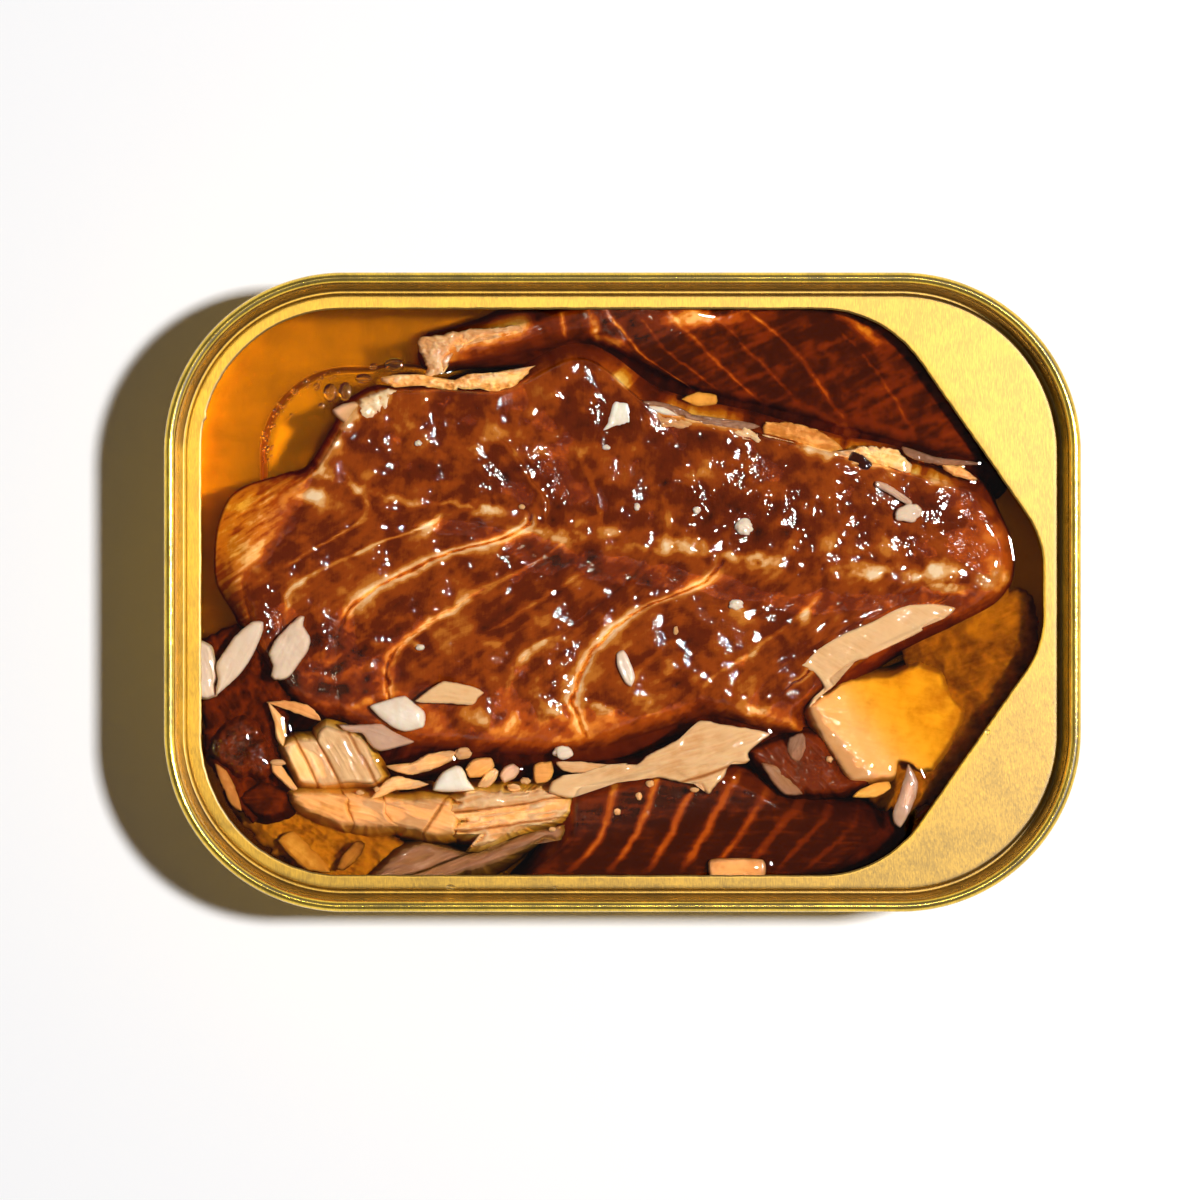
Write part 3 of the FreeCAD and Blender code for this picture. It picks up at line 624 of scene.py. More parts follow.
def openingOutline():
    # Corners of the torn opening with their radii, as a closed fine line
    endX, sideY = -(tin["length"] / 2 - tin["ringLip"]), tin["width"] / 2 - tin["ringLip"]
    noseX = tin["length"] / 2 - tin["ringLip"]
    reach, nose = tin["shoulderReach"], tin["noseHalfWidth"]
    corners = np.array([(endX, -sideY), (reach, -sideY), (noseX, -nose),
                        (noseX, nose), (reach, sideY), (endX, sideY)])
    radii = [16.8, 14.7, 11.7, 11.7, 14.7, 16.8]
    points = []
    for index, radius in enumerate(radii):
        corner = corners[index]
        back, ahead = corners[index - 1] - corner, corners[(index + 1) % 6] - corner
        back, ahead = back / np.linalg.norm(back), ahead / np.linalg.norm(ahead)
        half = math.acos(back.dot(ahead)) / 2
        hub = corner + (back + ahead) / np.linalg.norm(back + ahead) * radius / math.sin(half)
        start = corner + back * radius / math.tan(half) - hub
        stop = corner + ahead * radius / math.tan(half) - hub
        first, last = math.atan2(start[1], start[0]), math.atan2(stop[1], stop[0])
        last += 2 * math.pi if last < first else 0
        angles = np.linspace(first, last, 40)
        points.append(hub + radius * np.stack([np.cos(angles), np.sin(angles)], axis=-1))
    dense = np.concatenate(points)
    dense = np.concatenate([dense, dense[:1]])
    share = np.linspace(0, 1, 30, endpoint=False)[:, None]
    return np.concatenate([a + (b - a) * share for a, b in zip(dense[:-1], dense[1:])])


def makeLidRing():
    # The seam's cover, the chuck wall and its groove, and the panel out to the torn edge
    sheet, gap = tin["sheet"], tin["seamGap"]
    hook, seamWall, chuck = sheet / 2 + gap, 2.5 * sheet + 3 * gap, -1.5 * sheet - gap
    curl, crown = tin["height"] - tin["seamHeight"] + sheet / 2, tin["height"] - sheet / 2
    panel = panelTop - sheet / 2
    groove = chuck - tin["chuckDraft"]
    corners = [(hook, curl + tin["coverHookLength"]), (hook, curl), (seamWall, curl), (seamWall, crown),
               (chuck, crown), (chuck, crown - tin["chuckStraight"]), (groove, panel - tin["grooveDepth"]),
               (groove - tin["grooveWidth"], panel - tin["grooveDepth"]),
               (groove - tin["grooveWidth"] - tin["grooveDepth"] * 0.6, panel),
               (groove - tin["grooveWidth"] - tin["grooveDepth"] * 0.6 - 0.5, panel)]
    bends = [layer * 0.97, layer * 0.97, 0.54, 0.54, 2.0, 0.32, 0.28, 0.28]
    under = ringsOf(bentLine(corners, bends, sheet / 2))
    overLine = bentLine(corners, bends, -sheet / 2)
    over = ringsOf(overLine)
    # torn edge, found where each place's direction from the middle meets the opening
    outline = openingOutline()
    angles = np.arctan2(outline[:, 1], outline[:, 0])
    order = np.argsort(angles)
    foot = over[-1][:, :2]
    direction = np.arctan2(foot[:, 1], foot[:, 0])
    reach = np.interp(direction, angles[order], np.linalg.norm(outline, axis=1)[order], period=2 * math.pi)
    travel = np.linspace(0, 260, pathCount)
    tear = 0.03 * latticeNoise(2 * travel, travel * 0, 41)
    tear += 0.03 * latticeNoise(travel / 4, travel * 0 + 5, 42)
    reach = reach + tear - 0.25 * hump(direction, math.atan2(21.0, -50.2), 0.006)
    edge = np.stack([np.cos(direction), np.sin(direction)], axis=-1) * reach[:, None]

    def panelRings(start, height, droop):
        # Evenly out to near the edge, then at set distances from it, rounding over by droop
        way = edge - start[:, :2]
        length = np.linalg.norm(way, axis=1)[:, None]
        rings = []
        for share in np.linspace(0, 1, 12)[1:]:
            reached = start[:, :2] + way * share * (1 - 0.3 / length)
            rings.append(np.column_stack([reached, np.full(pathCount, height)]))
        for gap in (0.24, 0.18, 0.12, 0.06, 0.0):
            low = height - droop * (1 - gap / 0.3) ** 2
            rings.append(np.column_stack([edge - way * gap / length, np.full(pathCount, low)]))
        return rings

    overPanel = panelRings(over[-1], panelTop, 0.08)
    underPanel = panelRings(under[-1], panelTop - sheet, 0.0)
    rings = overPanel[::-1] + over[::-1] + under + underPanel
    vertices, _ = sweepRings(rings)
    pressed = np.zeros(len(rings))
    pressed[:len(overPanel)] = pressedMatt
    pressed[len(overPanel):len(overPanel) + len(over)] = pressedMatt * (overLine[::-1, 0] < groove - 0.05)
    matt = np.repeat(pressed, pathCount)
    return vertices, gridQuads(len(rings), pathCount, roundRows=True, roundColumns=True)[:, ::-1], matt


vertices, quads, caps, matt = makeTinBody()
addPiece("tinBodyShell", vertices, quads, goldBody, ["tin_body"], caps, {"matt": matt})
vertices, quads, matt = makeLidRing()
addPiece("lidRingShell", vertices, quads, goldLid, ["lid_ring"], values={"matt": matt})
print("tin made")


# Flesh: grids between lines that cross each piece, one line on each sheet of tissue

heightMap = {"step": 0.25, "halfX": 55.0, "halfY": 39.0}
mapShape = [int(2 * heightMap[half] / heightMap["step"]) + 1 for half in ("halfX", "halfY")]
heightMap["grid"] = np.zeros(mapShape)


def mapPlace(x, y):
    # Row and column of a point in the height map, with fractions
    return (x + heightMap["halfX"]) / heightMap["step"], (y + heightMap["halfY"]) / heightMap["step"]


def noteHeights(x, y, z):
    # Keeps the highest point over each small square, for what lies on or round the flesh
    rows, columns = heightMap["grid"].shape
    across, up = mapPlace(x, y)
    ix = np.clip(across.round().astype(int), 0, rows - 1)
    iy = np.clip(up.round().astype(int), 0, columns - 1)
    np.maximum.at(heightMap["grid"], (ix, iy), z)


def heightAt(x, y):
    # The highest flesh in the nine squares round a point
    ix, iy = (int(round(place)) for place in mapPlace(x, y))
    return float(heightMap["grid"][ix - 1:ix + 2, iy - 1:iy + 2].max())


def patch(lines, spacing):
    # x, y and the two grid places of a patch, with the distances to its four sides
    lines = np.asarray(lines, float)
    rows, columns = lines.shape[:2]
    long = np.linalg.norm(np.diff(lines, axis=0), axis=2).sum(axis=0).max()
    wide = np.linalg.norm(np.diff(lines, axis=1), axis=2).sum(axis=1).max()
    countU, countV = max(8, int(long / spacing)), max(8, int(wide / spacing))
    u, v = np.linspace(0, rows - 1, countU), np.linspace(0, columns - 1, countV)
    along = curveThrough(lines, u)
    points = curveThrough(np.swapaxes(along, 0, 1), v)
    x, y = points[..., 0], points[..., 1]
    stepU = np.linalg.norm(np.diff(points, axis=1), axis=2)
    stepV = np.linalg.norm(np.diff(points, axis=0), axis=2)
    fromStart = np.concatenate([np.zeros((countV, 1)), np.cumsum(stepU, axis=1)], axis=1)
    fromFoot = np.concatenate([np.zeros((1, countU)), np.cumsum(stepV, axis=0)])
    shape = {"x": x, "y": y, "u": np.broadcast_to(u, x.shape), "v": np.broadcast_to(v[:, None], x.shape)}
    shape["start"], shape["end"] = fromStart, fromStart[:, -1:] - fromStart
    shape["foot"], shape["top"] = fromFoot, fromFoot[-1:] - fromFoot
    shape["flakeLength"] = np.gradient(x, u, axis=1) ** 2 + np.gradient(y, u, axis=1) ** 2
    shape["flakeLength"] = np.sqrt(shape["flakeLength"]) + 1e-6
    return shape


def fallOff(distance, width, drop):
    # A quarter-round edge: nothing past width, drop at the very edge
    share = np.clip(1 - distance / width, 0, 1)
    return drop * (1 - np.sqrt(1 - share * share))


def steps(place, values):
    # A value that eases through the given ones at whole places
    return curveThrough(np.asarray(values, float)[:, None], place.ravel())[:, 0].reshape(place.shape)


def relief(z, width):
    # How far each point stands above its surroundings
    padded = np.pad(z, 20, mode="edge")
    return (padded - blurred(padded, width))[20:-20, 20:-20]


def standFlesh(name, node, shape, z, pale, material, flares):
    # Puts a standing piece of flesh in the tin and notes its heights; painted shade darkens its hollows and
    # painted light brightens its ridges
    paintedHollowShade = 0.9
    z = np.minimum(z, fleshTop)
    noteHeights(shape["x"], shape["y"], z)
    ends = np.minimum(shape["start"], shape["end"])
    inner = ease(np.minimum(np.minimum(shape["foot"], shape["top"]), ends), 0.5, 3)
    # painted shade in the hollows and painted light on the ridges, from how far each point stands above its
    # surroundings
    pale = pale + paintedHollowShade * np.clip(relief(z, 4.0), -0.25, 0.1) * inner
    rim = rimOf(*z.shape)
    rimPoints = np.stack([shape["x"].ravel()[rim], shape["y"].ravel()[rim]], axis=-1)
    vertices, quads, cap = standingGrid(shape["x"], shape["y"], z, floorLevel, flares(*rimPoints.T))
    pale = np.clip(pale, 0, 1)
    edge = pale.ravel()[rim]
    # the sides take the rim's paleness, cut ring by ring as painted shade
    values = {"pale": np.concatenate([pale.ravel()] + [edge * share for share in paintedSideShade])}
    for label, numbers in (("along", shape["foot"]), ("across", shape["start"])):
        flat = numbers.ravel() * mm
        values[label] = np.concatenate([flat] + [flat[rim]] * 4)
    return addPiece(name, vertices, quads, material, [node], [cap], values)


def crease(shape, place, low, high, width):
    # Nearness to a line of tissue: 1 on it, over a stretch of the grid across the piece
    wander = 0.5 * layeredNoise(shape["x"] / 2.2, shape["y"] / 2.2, 11, 5)
    away = (shape["u"] - place) * shape["flakeLength"] + wander
    broken = np.clip(0.9 + 0.55 * layeredNoise(shape["x"] / 1.5, shape["y"] / 1.5, 12, 4), 0.2, 1.35)
    return np.exp(-np.abs(away / width) ** 1.6) * band(shape["v"], low, high, 0.25) * broken


mainFillet = {
    "spacing": 0.25,
    "lines": [
        [(-46.4, -2.6), (-48.5, 1.0), (-48.8, 5.0), (-48.2, 8.7), (-46.2, 12.0), (-40.8, 13.9)],
        [(-42.6, -8.8), (-45.4, 0.8), (-42.6, 4.8), (-39.4, 8.9), (-38.6, 11.7), (-36.9, 14.6)],
        [(-38.2, -14.0), (-40.4, -1.6), (-31.5, 4.8), (-21.5, 9.4), (-27.0, 16.5), (-31.2, 23.0)],
        [(-33.8, -15.9), (-33.2, -3.0), (-23.5, 3.6), (-11.5, 8.0), (-15.5, 15.5), (-23.5, 24.4)],
        [(-27.2, -18.6), (-27.4, -7.5), (-18.5, -0.8), (-6.5, 6.4), (-8.0, 15.5), (-14.5, 24.4)],
        [(-13.5, -19.6), (-12.6, -9.0), (-5.5, -3.6), (3.0, 4.4), (2.5, 14.0), (-5.0, 28.3)],
        [(-3.8, -19.0), (-5.6, -10.8), (1.0, -2.8), (11.5, 2.6), (10.0, 12.0), (3.6, 22.4)],
        [(10.0, -15.2), (9.8, -11.4), (16.5, -6.4), (24.0, 0.8), (20.5, 10.0), (14.5, 19.6)],
        [(16.8, -16.6), (15.6, -12.6), (24.0, -5.8), (36.0, 0.8), (31.5, 8.5), (27.5, 16.2)],
        [(22.2, -17.6), (21.8, -13.8), (31.5, -7.0), (44.5, -0.7), (46.3, 6.0), (42.3, 12.4)],
    ],
    "crest": [-2.9, 0.6, 0.75, 0.7, 0.65, 0.8, 0.75, 0.75, 0.8, 0.3],
    # lines of tissue: place along, from and to across, half width, paleness, how deep it gapes
    "seams": [
        (1.5, 1.6, 4.0, 0.35, 0.30, 0.1),
        (2.0, 0.9, 3.0, 0.4, 0.42, 0.15),
        (3.0, 1.0, 3.1, 0.75, 0.62, 0.9),
        (4.0, 1.0, 2.2, 0.6, 0.5, 0.25),
        (4.0, 0.35, 1.0, 0.45, 0.5, 1.2),
        (4.0, 2.2, 3.0, 0.3, 0.22, 0.1),
        (4.5, 1.6, 2.7, 0.3, 0.18, 0.08),
        (5.0, 1.05, 1.7, 0.6, 0.42, 0.15),
        (5.0, 0.4, 1.05, 0.4, 0.18, 0.1),
        (6.0, 0.3, 3.0, 0.75, 0.66, 1.1),
        (6.45, 0.9, 1.8, 0.35, 0.2, 0.08),
        (7.0, 0.6, 3.0, 0.35, 0.2, 0.1),
        (8.42, 1.3, 2.8, 0.4, 0.35, 0.9),
        (3.4, 3.1, 4.4, 0.45, 0.16, 0.1),
        (4.35, 3.2, 4.2, 0.4, 0.16, 0.1),
        (5.2, 3.1, 3.8, 0.4, 0.16, 0.1),
    ],
    "fat": [(-37.0, 11.2, 2.0, 1.0, -10, 0.62), (-35.4, 14.2, 2.0, 1.0, -30, 0.5),
            (-31.0, 12.4, 3.2, 0.4, -15, 0.35), (-26.5, 10.9, 3.0, 0.5, -15, 0.35),
            (-22.8, 7.9, 2.4, 0.7, 25, 0.5), (-20.0, 10.4, 3.0, 0.4, -5, 0.35),
            (-16.3, 9.6, 2.2, 0.8, -12, 0.55), (-11.0, 7.4, 3.4, 0.9, -8, 0.4),
            (-6.3, 6.3, 1.8, 1.2, 0, 0.5), (-5.0, 8.1, 1.6, 0.8, 0, 0.3), (-1.5, 7.2, 1.5, 0.6, 0, 0.35),
            (3.5, 5.2, 3.2, 0.6, 0, 0.3), (7.6, 5.7, 3.4, 1.2, -3, 0.62), (12.8, 4.2, 2.2, 0.6, -15, 0.4),
            (16.3, 3.8, 2.6, 1.0, -8, 0.55), (20.4, 5.8, 1.7, 0.9, 45, 0.3), (24.5, 5.3, 1.2, 1.5, 0, 0.3),
            (29.6, 2.8, 3.2, 1.0, 2, 0.6), (31.5, 5.2, 2.2, 1.6, 0, 0.3), (37.2, 2.3, 3.4, 1.2, 5, 0.65),
            (44.4, 1.5, 1.9, 1.0, 10, 0.45), (39.0, 0.6, 2.4, 0.6, 0, 0.5),
            (-22.0, 12.6, 1.8, 1.3, 0, 0.24), (-30.3, 14.3, 0.8, 0.8, 0, 0.18),
            (-9.3, 16.6, 3.6, 1.0, -5, 0.26), (-4.8, 17.0, 3.2, 1.0, -10, 0.26),
            (-15.5, 19.0, 1.6, 1.2, 30, 0.22), (-26.3, 19.6, 3.6, 2.0, -20, 0.26),
            (-19.0, 16.8, 3.4, 2.0, 0, 0.18), (8.6, 14.0, 2.4, 1.2, 0, 0.26),
            (17.6, 12.0, 1.6, 1.2, 0, 0.2), (-15.5, -5.8, 1.8, 0.9, 15, 0.3),
            (-9.4, -3.4, 1.5, 1.0, 0, 0.2), (11.6, -6.0, 1.3, 1.0, 0, 0.2),
            (13.4, -2.2, 1.5, 0.8, -30, 0.3), (22.0, -2.4, 1.7, 0.8, 60, 0.45),
            (-24.3, -6.6, 0.9, 0.7, -40, 0.45), (-7.5, -6.2, 2.2, 0.9, 25, 0.2),
            (5.6, -8.7, 1.0, 0.8, 30, 0.3), (-17.0, -15.0, 1.6, 1.3, 0, 0.34),
            (-13.0, -15.8, 1.2, 1.8, -20, 0.42), (-8.4, -14.4, 2.4, 1.2, -20, 0.36),
            (-5.4, -15.8, 1.5, 1.2, 0, 0.3), (-2.4, -14.3, 2.0, 0.8, -25, 0.5),
            (2.9, -12.4, 1.4, 1.3, 0, 0.3), (16.4, -14.2, 2.0, 1.0, -15, 0.45),
            (-6.6, -17.6, 2.4, 0.7, 10, 0.3), (-35.0, -7.6, 2.8, 1.0, 20, 0.2),
            (-30.0, -12.4, 3.4, 0.8, 15, 0.2), (-31.2, -9.0, 2.2, 0.9, -40, 0.18),
            (20.4, -15.8, 2.0, 0.9, -30, 0.3)],
}


def makeMainFillet():
    # Height: crest, less the side furrow and the belly's fall, plus a swell on each flake and lips at seams
    shape = patch(mainFillet["lines"], mainFillet["spacing"])
    x, y, u, v = shape["x"], shape["y"], shape["u"], shape["v"]
    inFlake = u - np.floor(u)
    swell = np.sin(math.pi * inFlake) ** 0.6 * (0.3 - 0.16 * ease(v, 2.8, 3.6))
    crest = steps(u, mainFillet["crest"])
    furrow = 0.5 * hump(v, 2.75, 0.22) * ease(u, 1.5, 2.5)
    belly = 0.9 * np.clip(1 - v / 1.5, 0, 1) ** 2
    fat = spots(x, y, mainFillet["fat"]) * (0.8 + 0.5 * layeredNoise(x / 0.9, y / 0.9, 50, 3))
    z = oilLevel + crest - furrow + 0.22 * hump(v, 3.15, 0.25) - belly + swell * ease(u, 0.6, 1.4)
    z += 0.26 * layeredNoise(x / 3.0, y / 3.0, 51) + 0.03 * layeredNoise(x / 0.9, y / 0.9, 52, 2) + 0.25 * fat
    z += 0.35 * hump(np.hypot(x + 6, y - 25), 0, 3.2)
    pale = 0.29 + 0.15 * layeredNoise(x / 5, y / 5, 53) + 0.12 * layeredNoise(x / 1.7, y / 1.7, 54) + fat
    pale += 0.05 * (1 - ease(v, 2.0, 2.8))
    bent = (x * 0.8 + y * 0.6) / 4 + layeredNoise(x / 6, y / 6, 44, 2)
    threads = layeredNoise(bent, (y * 0.8 - x * 0.6) / 0.55, 45, 3)
    pale += 0.09 * threads * (1 - 0.6 * ease(v, 2.8, 3.4))
    for place, low, high, width, strength, gape in mainFillet["seams"]:
        near = crease(shape, place, low, high, width)
        pale += 1.25 * strength * near
        z += 0.12 * near - gape * crease(shape, place, low, high, width * 0.3)
        # painted shade at the bottom of each gaping seam
        pale -= min(0.5, gape * 0.5) * crease(shape, place, low, high, width * 0.25)
    # cut face at the left end, fibres swirling over the lower left, and the torn upper edge
    swirlX = x / 5 + 0.9 * layeredNoise(x / 4, y / 4, 46, 2)
    swirlY = y / 1.1 + 2.4 * layeredNoise(x / 5, y / 5, 47, 2)
    swirl = layeredNoise(swirlX, swirlY, 48)
    lowerLeft = (1 - ease(x, -31, -26)) * (1 - ease(y, -6, -3)) * ease(u, 1.1, 1.6)
    pale += lowerLeft * (0.34 * swirl - 0.06)
    z += 0.1 * lowerLeft * swirl
    slope = 1 - ease(u + 0.06 * layeredNoise(x / 2, y / 2, 55), 0.85, 1.05)
    grainLeft = layeredNoise((x + 0.6 * y) / 3.0, (y - 0.6 * x) / 0.5, 56)
    pale += slope * (0.22 + 0.14 * grainLeft)
    z += slope * 0.1 * grainLeft
    ragged = shape["top"] + 0.5 * layeredNoise(x / 1.2, y / 1.2, 58)
    torn = band(u, 1.0, 2.5, 0.2) * np.exp(-(ragged / 1.8) ** 2)
    torn += band(u, 5.4, 8.8, 0.15) * np.exp(-(ragged / 1.3) ** 2)
    torn *= ease(layeredNoise(x / 2.6, y / 2.6, 60), -0.35, 0.2)
    pale += 0.6 * torn
    z += 0.15 * torn * layeredNoise(x / 0.8, y / 0.8, 59)
    z -= fallOff(shape["foot"], 3.0, 3.4) + fallOff(shape["top"], 0.9, 1.7) + fallOff(shape["end"], 1.4, 2.0)
    # painted shade: darker along the lower edge, where it falls away into the oil; also a little darker over
    # the lower left
    pale -= 0.16 * np.exp(-shape["foot"] / 1.6) + 0.07 * (1 - ease(x, -30, -22)) * (1 - ease(y, -4, 2))
    return standFlesh("mainFilletFlesh", "fillet_main", shape, z, pale, glazedFlesh,
                       lambda x, y: 0.6 + 4.4 * (1 - ease(y, -13, -6))
                       + 3.4 * ease(x, -16, -8) * ease(y, 8, 14)
                       + 0.6 * ease(x, 24, 34) * (1 - ease(y, -2, 2)))


backFillet = {
    "spacing": 0.24,
    "lines": [
        [(-22.3, 26.9), (-22.7, 28.2), (-23.0, 29.4)],
        [(-17.5, 27.6), (-17.4, 29.2), (-17.0, 30.7)],
        [(-9.0, 29.3), (-9.5, 31.0), (-10.0, 32.8)],
        [(-2.9, 29.8), (-3.5, 31.8), (-4.2, 34.4)],
        [(8.5, 24.4), (1.8, 29.0), (-2.5, 35.0)],
        [(17.5, 22.2), (9.8, 29.0), (4.2, 35.2)],
        [(27.5, 19.4), (20.5, 29.0), (13.0, 35.2)],
        [(36.0, 16.9), (30.5, 26.4), (22.5, 35.2)],
        [(43.4, 15.2), (40.5, 22.0), (33.5, 31.5)],
    ],
    "low": [0.1, -0.4, -0.6, -1.0, -2.6, -2.9, -2.6, -2.0, -1.6],
    "high": [0.3, 0.4, 0.1, 0.3, 0.5, 0.3, -0.5, -1.5, -2.2],
    "seams": [(3.0, 0.2, 2.0, 0.4, 0.4), (4.0, 0.0, 1.8, 0.35, 0.5), (4.5, 0.2, 1.6, 0.25, 0.3),
              (5.0, 0.2, 1.8, 0.35, 0.42), (5.5, 0.3, 1.5, 0.25, 0.25), (6.0, 0.2, 1.9, 0.4, 0.45),
              (2.4, 0.4, 2.0, 0.3, 0.34), (7.0, 0.2, 1.6, 0.3, 0.2)],
    "fat": [(9.2, 32.7, 5.0, 0.9, 0, 0.55), (-3.3, 32.0, 0.7, 1.4, 0, 0.4),
            (-1.2, 29.8, 2.4, 0.5, -25, 0.45), (28.5, 31.6, 3.5, 0.5, -32, 0.4),
            (9.0, 23.4, 1.6, 0.7, 0, 0.35), (27.0, 19.8, 3.5, 0.4, -28, 0.3)],
}


def makeBackFillet():
    # Height: eased from its sunken lower side to its upper side, a swell on each flake
    shape = patch(backFillet["lines"], backFillet["spacing"])
    x, y, u, v = shape["x"], shape["y"], shape["u"], shape["v"]
    low, high = steps(u, backFillet["low"]), steps(u, backFillet["high"])
    z = oilLevel + low + (high - low) * np.sin(0.25 * math.pi * v)
    z = z + 0.2 * np.sin(math.pi * (u - np.floor(u))) ** 0.6
    streak = layeredNoise((x * 0.92 + y * 0.4) / 3.2, (y * 0.92 - x * 0.4) / 0.6, 61)
    fat = spots(x, y, backFillet["fat"], 5)
    z += 0.08 * streak + 0.06 * layeredNoise(x, y, 62, 3) + 0.15 * fat
    pale = 0.06 + 0.06 * streak + 0.13 * layeredNoise(x / 4, y / 4, 63) + 0.14 * (1 - ease(x, -14, -2)) + fat
    for place, fromV, toV, width, strength in backFillet["seams"]:
        pale += strength * crease(shape, place, fromV, toV, width)
    crust = np.exp(-((shape["top"] + 0.4 * layeredNoise(x, y, 64)) / 1.5) ** 2) * (1 - ease(u, 1.7, 2.0))
    inward = (shape["start"] + 0.6 * layeredNoise(x, y, 65)) / 3.6
    crust = np.maximum(crust, np.exp(-inward**2) * ease(v, 0.1, 0.5))
    pale += 0.62 * crust
    z += crust * (0.2 + 0.12 * layeredNoise(x / 0.7, y / 0.7, 66))
    z -= (fallOff(shape["foot"], 2.0, 2.2) + fallOff(shape["top"], 1.0, 1.2)
          + fallOff(shape["start"], 1.0, 1.8))
    z -= fallOff(shape["end"], 1.5, 1.5)
    return standFlesh("backFilletFlesh", "fillet_back", shape, z, pale, glazedFlesh,
                       lambda x, y: 0.5 + 4.0 * ease(x, -22, -10) * (1 - ease(y, 31, 34)))


frontFillet = {
    "spacing": 0.2,
    "lines": [
        [(-13.0, -34.8), (-7.2, -30.0), (-6.1, -24.6)],
        [(2.0, -35.2), (5.6, -29.2), (9.2, -21.5)],
        [(13.5, -35.2), (17.4, -30.0), (20.9, -25.8)],
        [(25.0, -33.6), (28.4, -31.2), (31.4, -28.6)],
    ],
    "low": [-1.2, -1.2, -2.2, -3.0],
    "high": [0.5, 0.3, -0.1, -2.4],
    "bars": 9,
}


def makeFrontFillet():
    # Height: falls towards the wall; bars of tissue stand a little proud of the dark cells between
    shape = patch(frontFillet["lines"], frontFillet["spacing"])
    x, y, u, v = shape["x"], shape["y"], shape["u"], shape["v"]
    low, high = steps(u, frontFillet["low"]), steps(u, frontFillet["high"])
    bars = u * frontFillet["bars"] / 3
    fromBar = (bars - np.round(bars)) * shape["flakeLength"] * 3 / frontFillet["bars"]
    fromBar += 0.25 * layeredNoise(x / 1.5, y / 1.5, 71)
    bar = np.exp(-np.abs(fromBar / 0.55) ** 2.4)
    striae = layeredNoise(x / 3.5, y / 0.35 + x / 9, 72)
    # painted light: the bars and the top edge are paler on the left and fade towards the right end, which
    # lies in shade
    lit = 1 - ease(x, 6, 26) * 0.8
    z = oilLevel + low + (high - low) * (v / 2) ** 0.6 + 0.12 * bar + 0.05 * striae
    pale = 0.0 + 0.1 * striae * (1 - bar) + 0.4 * bar * lit * ease(v, 0.15, 0.8)
    pale += 0.25 * np.exp(-shape["top"] / 1.4) * lit
    z -= (fallOff(shape["foot"], 1.5, 1.5) + fallOff(shape["top"], 1.0, 1.0)
          + fallOff(shape["start"], 1.2, 2.0))
    z -= fallOff(shape["end"], 1.5, 1.5)
    return standFlesh("frontFilletFlesh", "fillet_front", shape, z, pale, glazedFlesh,
                       lambda x, y: 1.0 + 2.8 * ease(y, -34, -30))


# Smaller pieces: each a closed outline, filled by rings drawn in to its middle

def closedLine(corners, count):
    # A line through corners, between straight runs and a Catmull-Rom curve
    bend = 0.6
    points = np.asarray(corners, float)
    places = np.linspace(0, len(points), count, endpoint=False)
    wrapped = np.concatenate([points[-1:], points, points[:2]])
    curve = curveThrough(wrapped, places + 1)
    step = places.astype(int)
    share = (places - step)[:, None]
    straight = points[step] * (1 - share) + points[(step + 1) % len(points)] * share
    return straight * (1 - bend) + curve * bend


# Points round and rings of an outlined piece for each millimetre of its reach, with their limits
outlineGrid = {"round": 38, "roundLimits": (96, 250), "rings": 6, "ringLimits": (12, 50)}

# What an outlined piece has where its own sizes say nothing
usual = {
    "finish": "paleFlesh",
    "turn": 0,
    "tear": 0.22,
    "fibre": 0.05,
    "crumb": 0.03,
    "lumps": 0.08,
    "tiltAlong": 0.0,
    "tiltAcross": 0.0,
    "breaks": [],
    "ribs": [],
    "round": 0.6,
    "fall": 1.6,
    "flare": 1.5,
    "lift": 0.0,
}


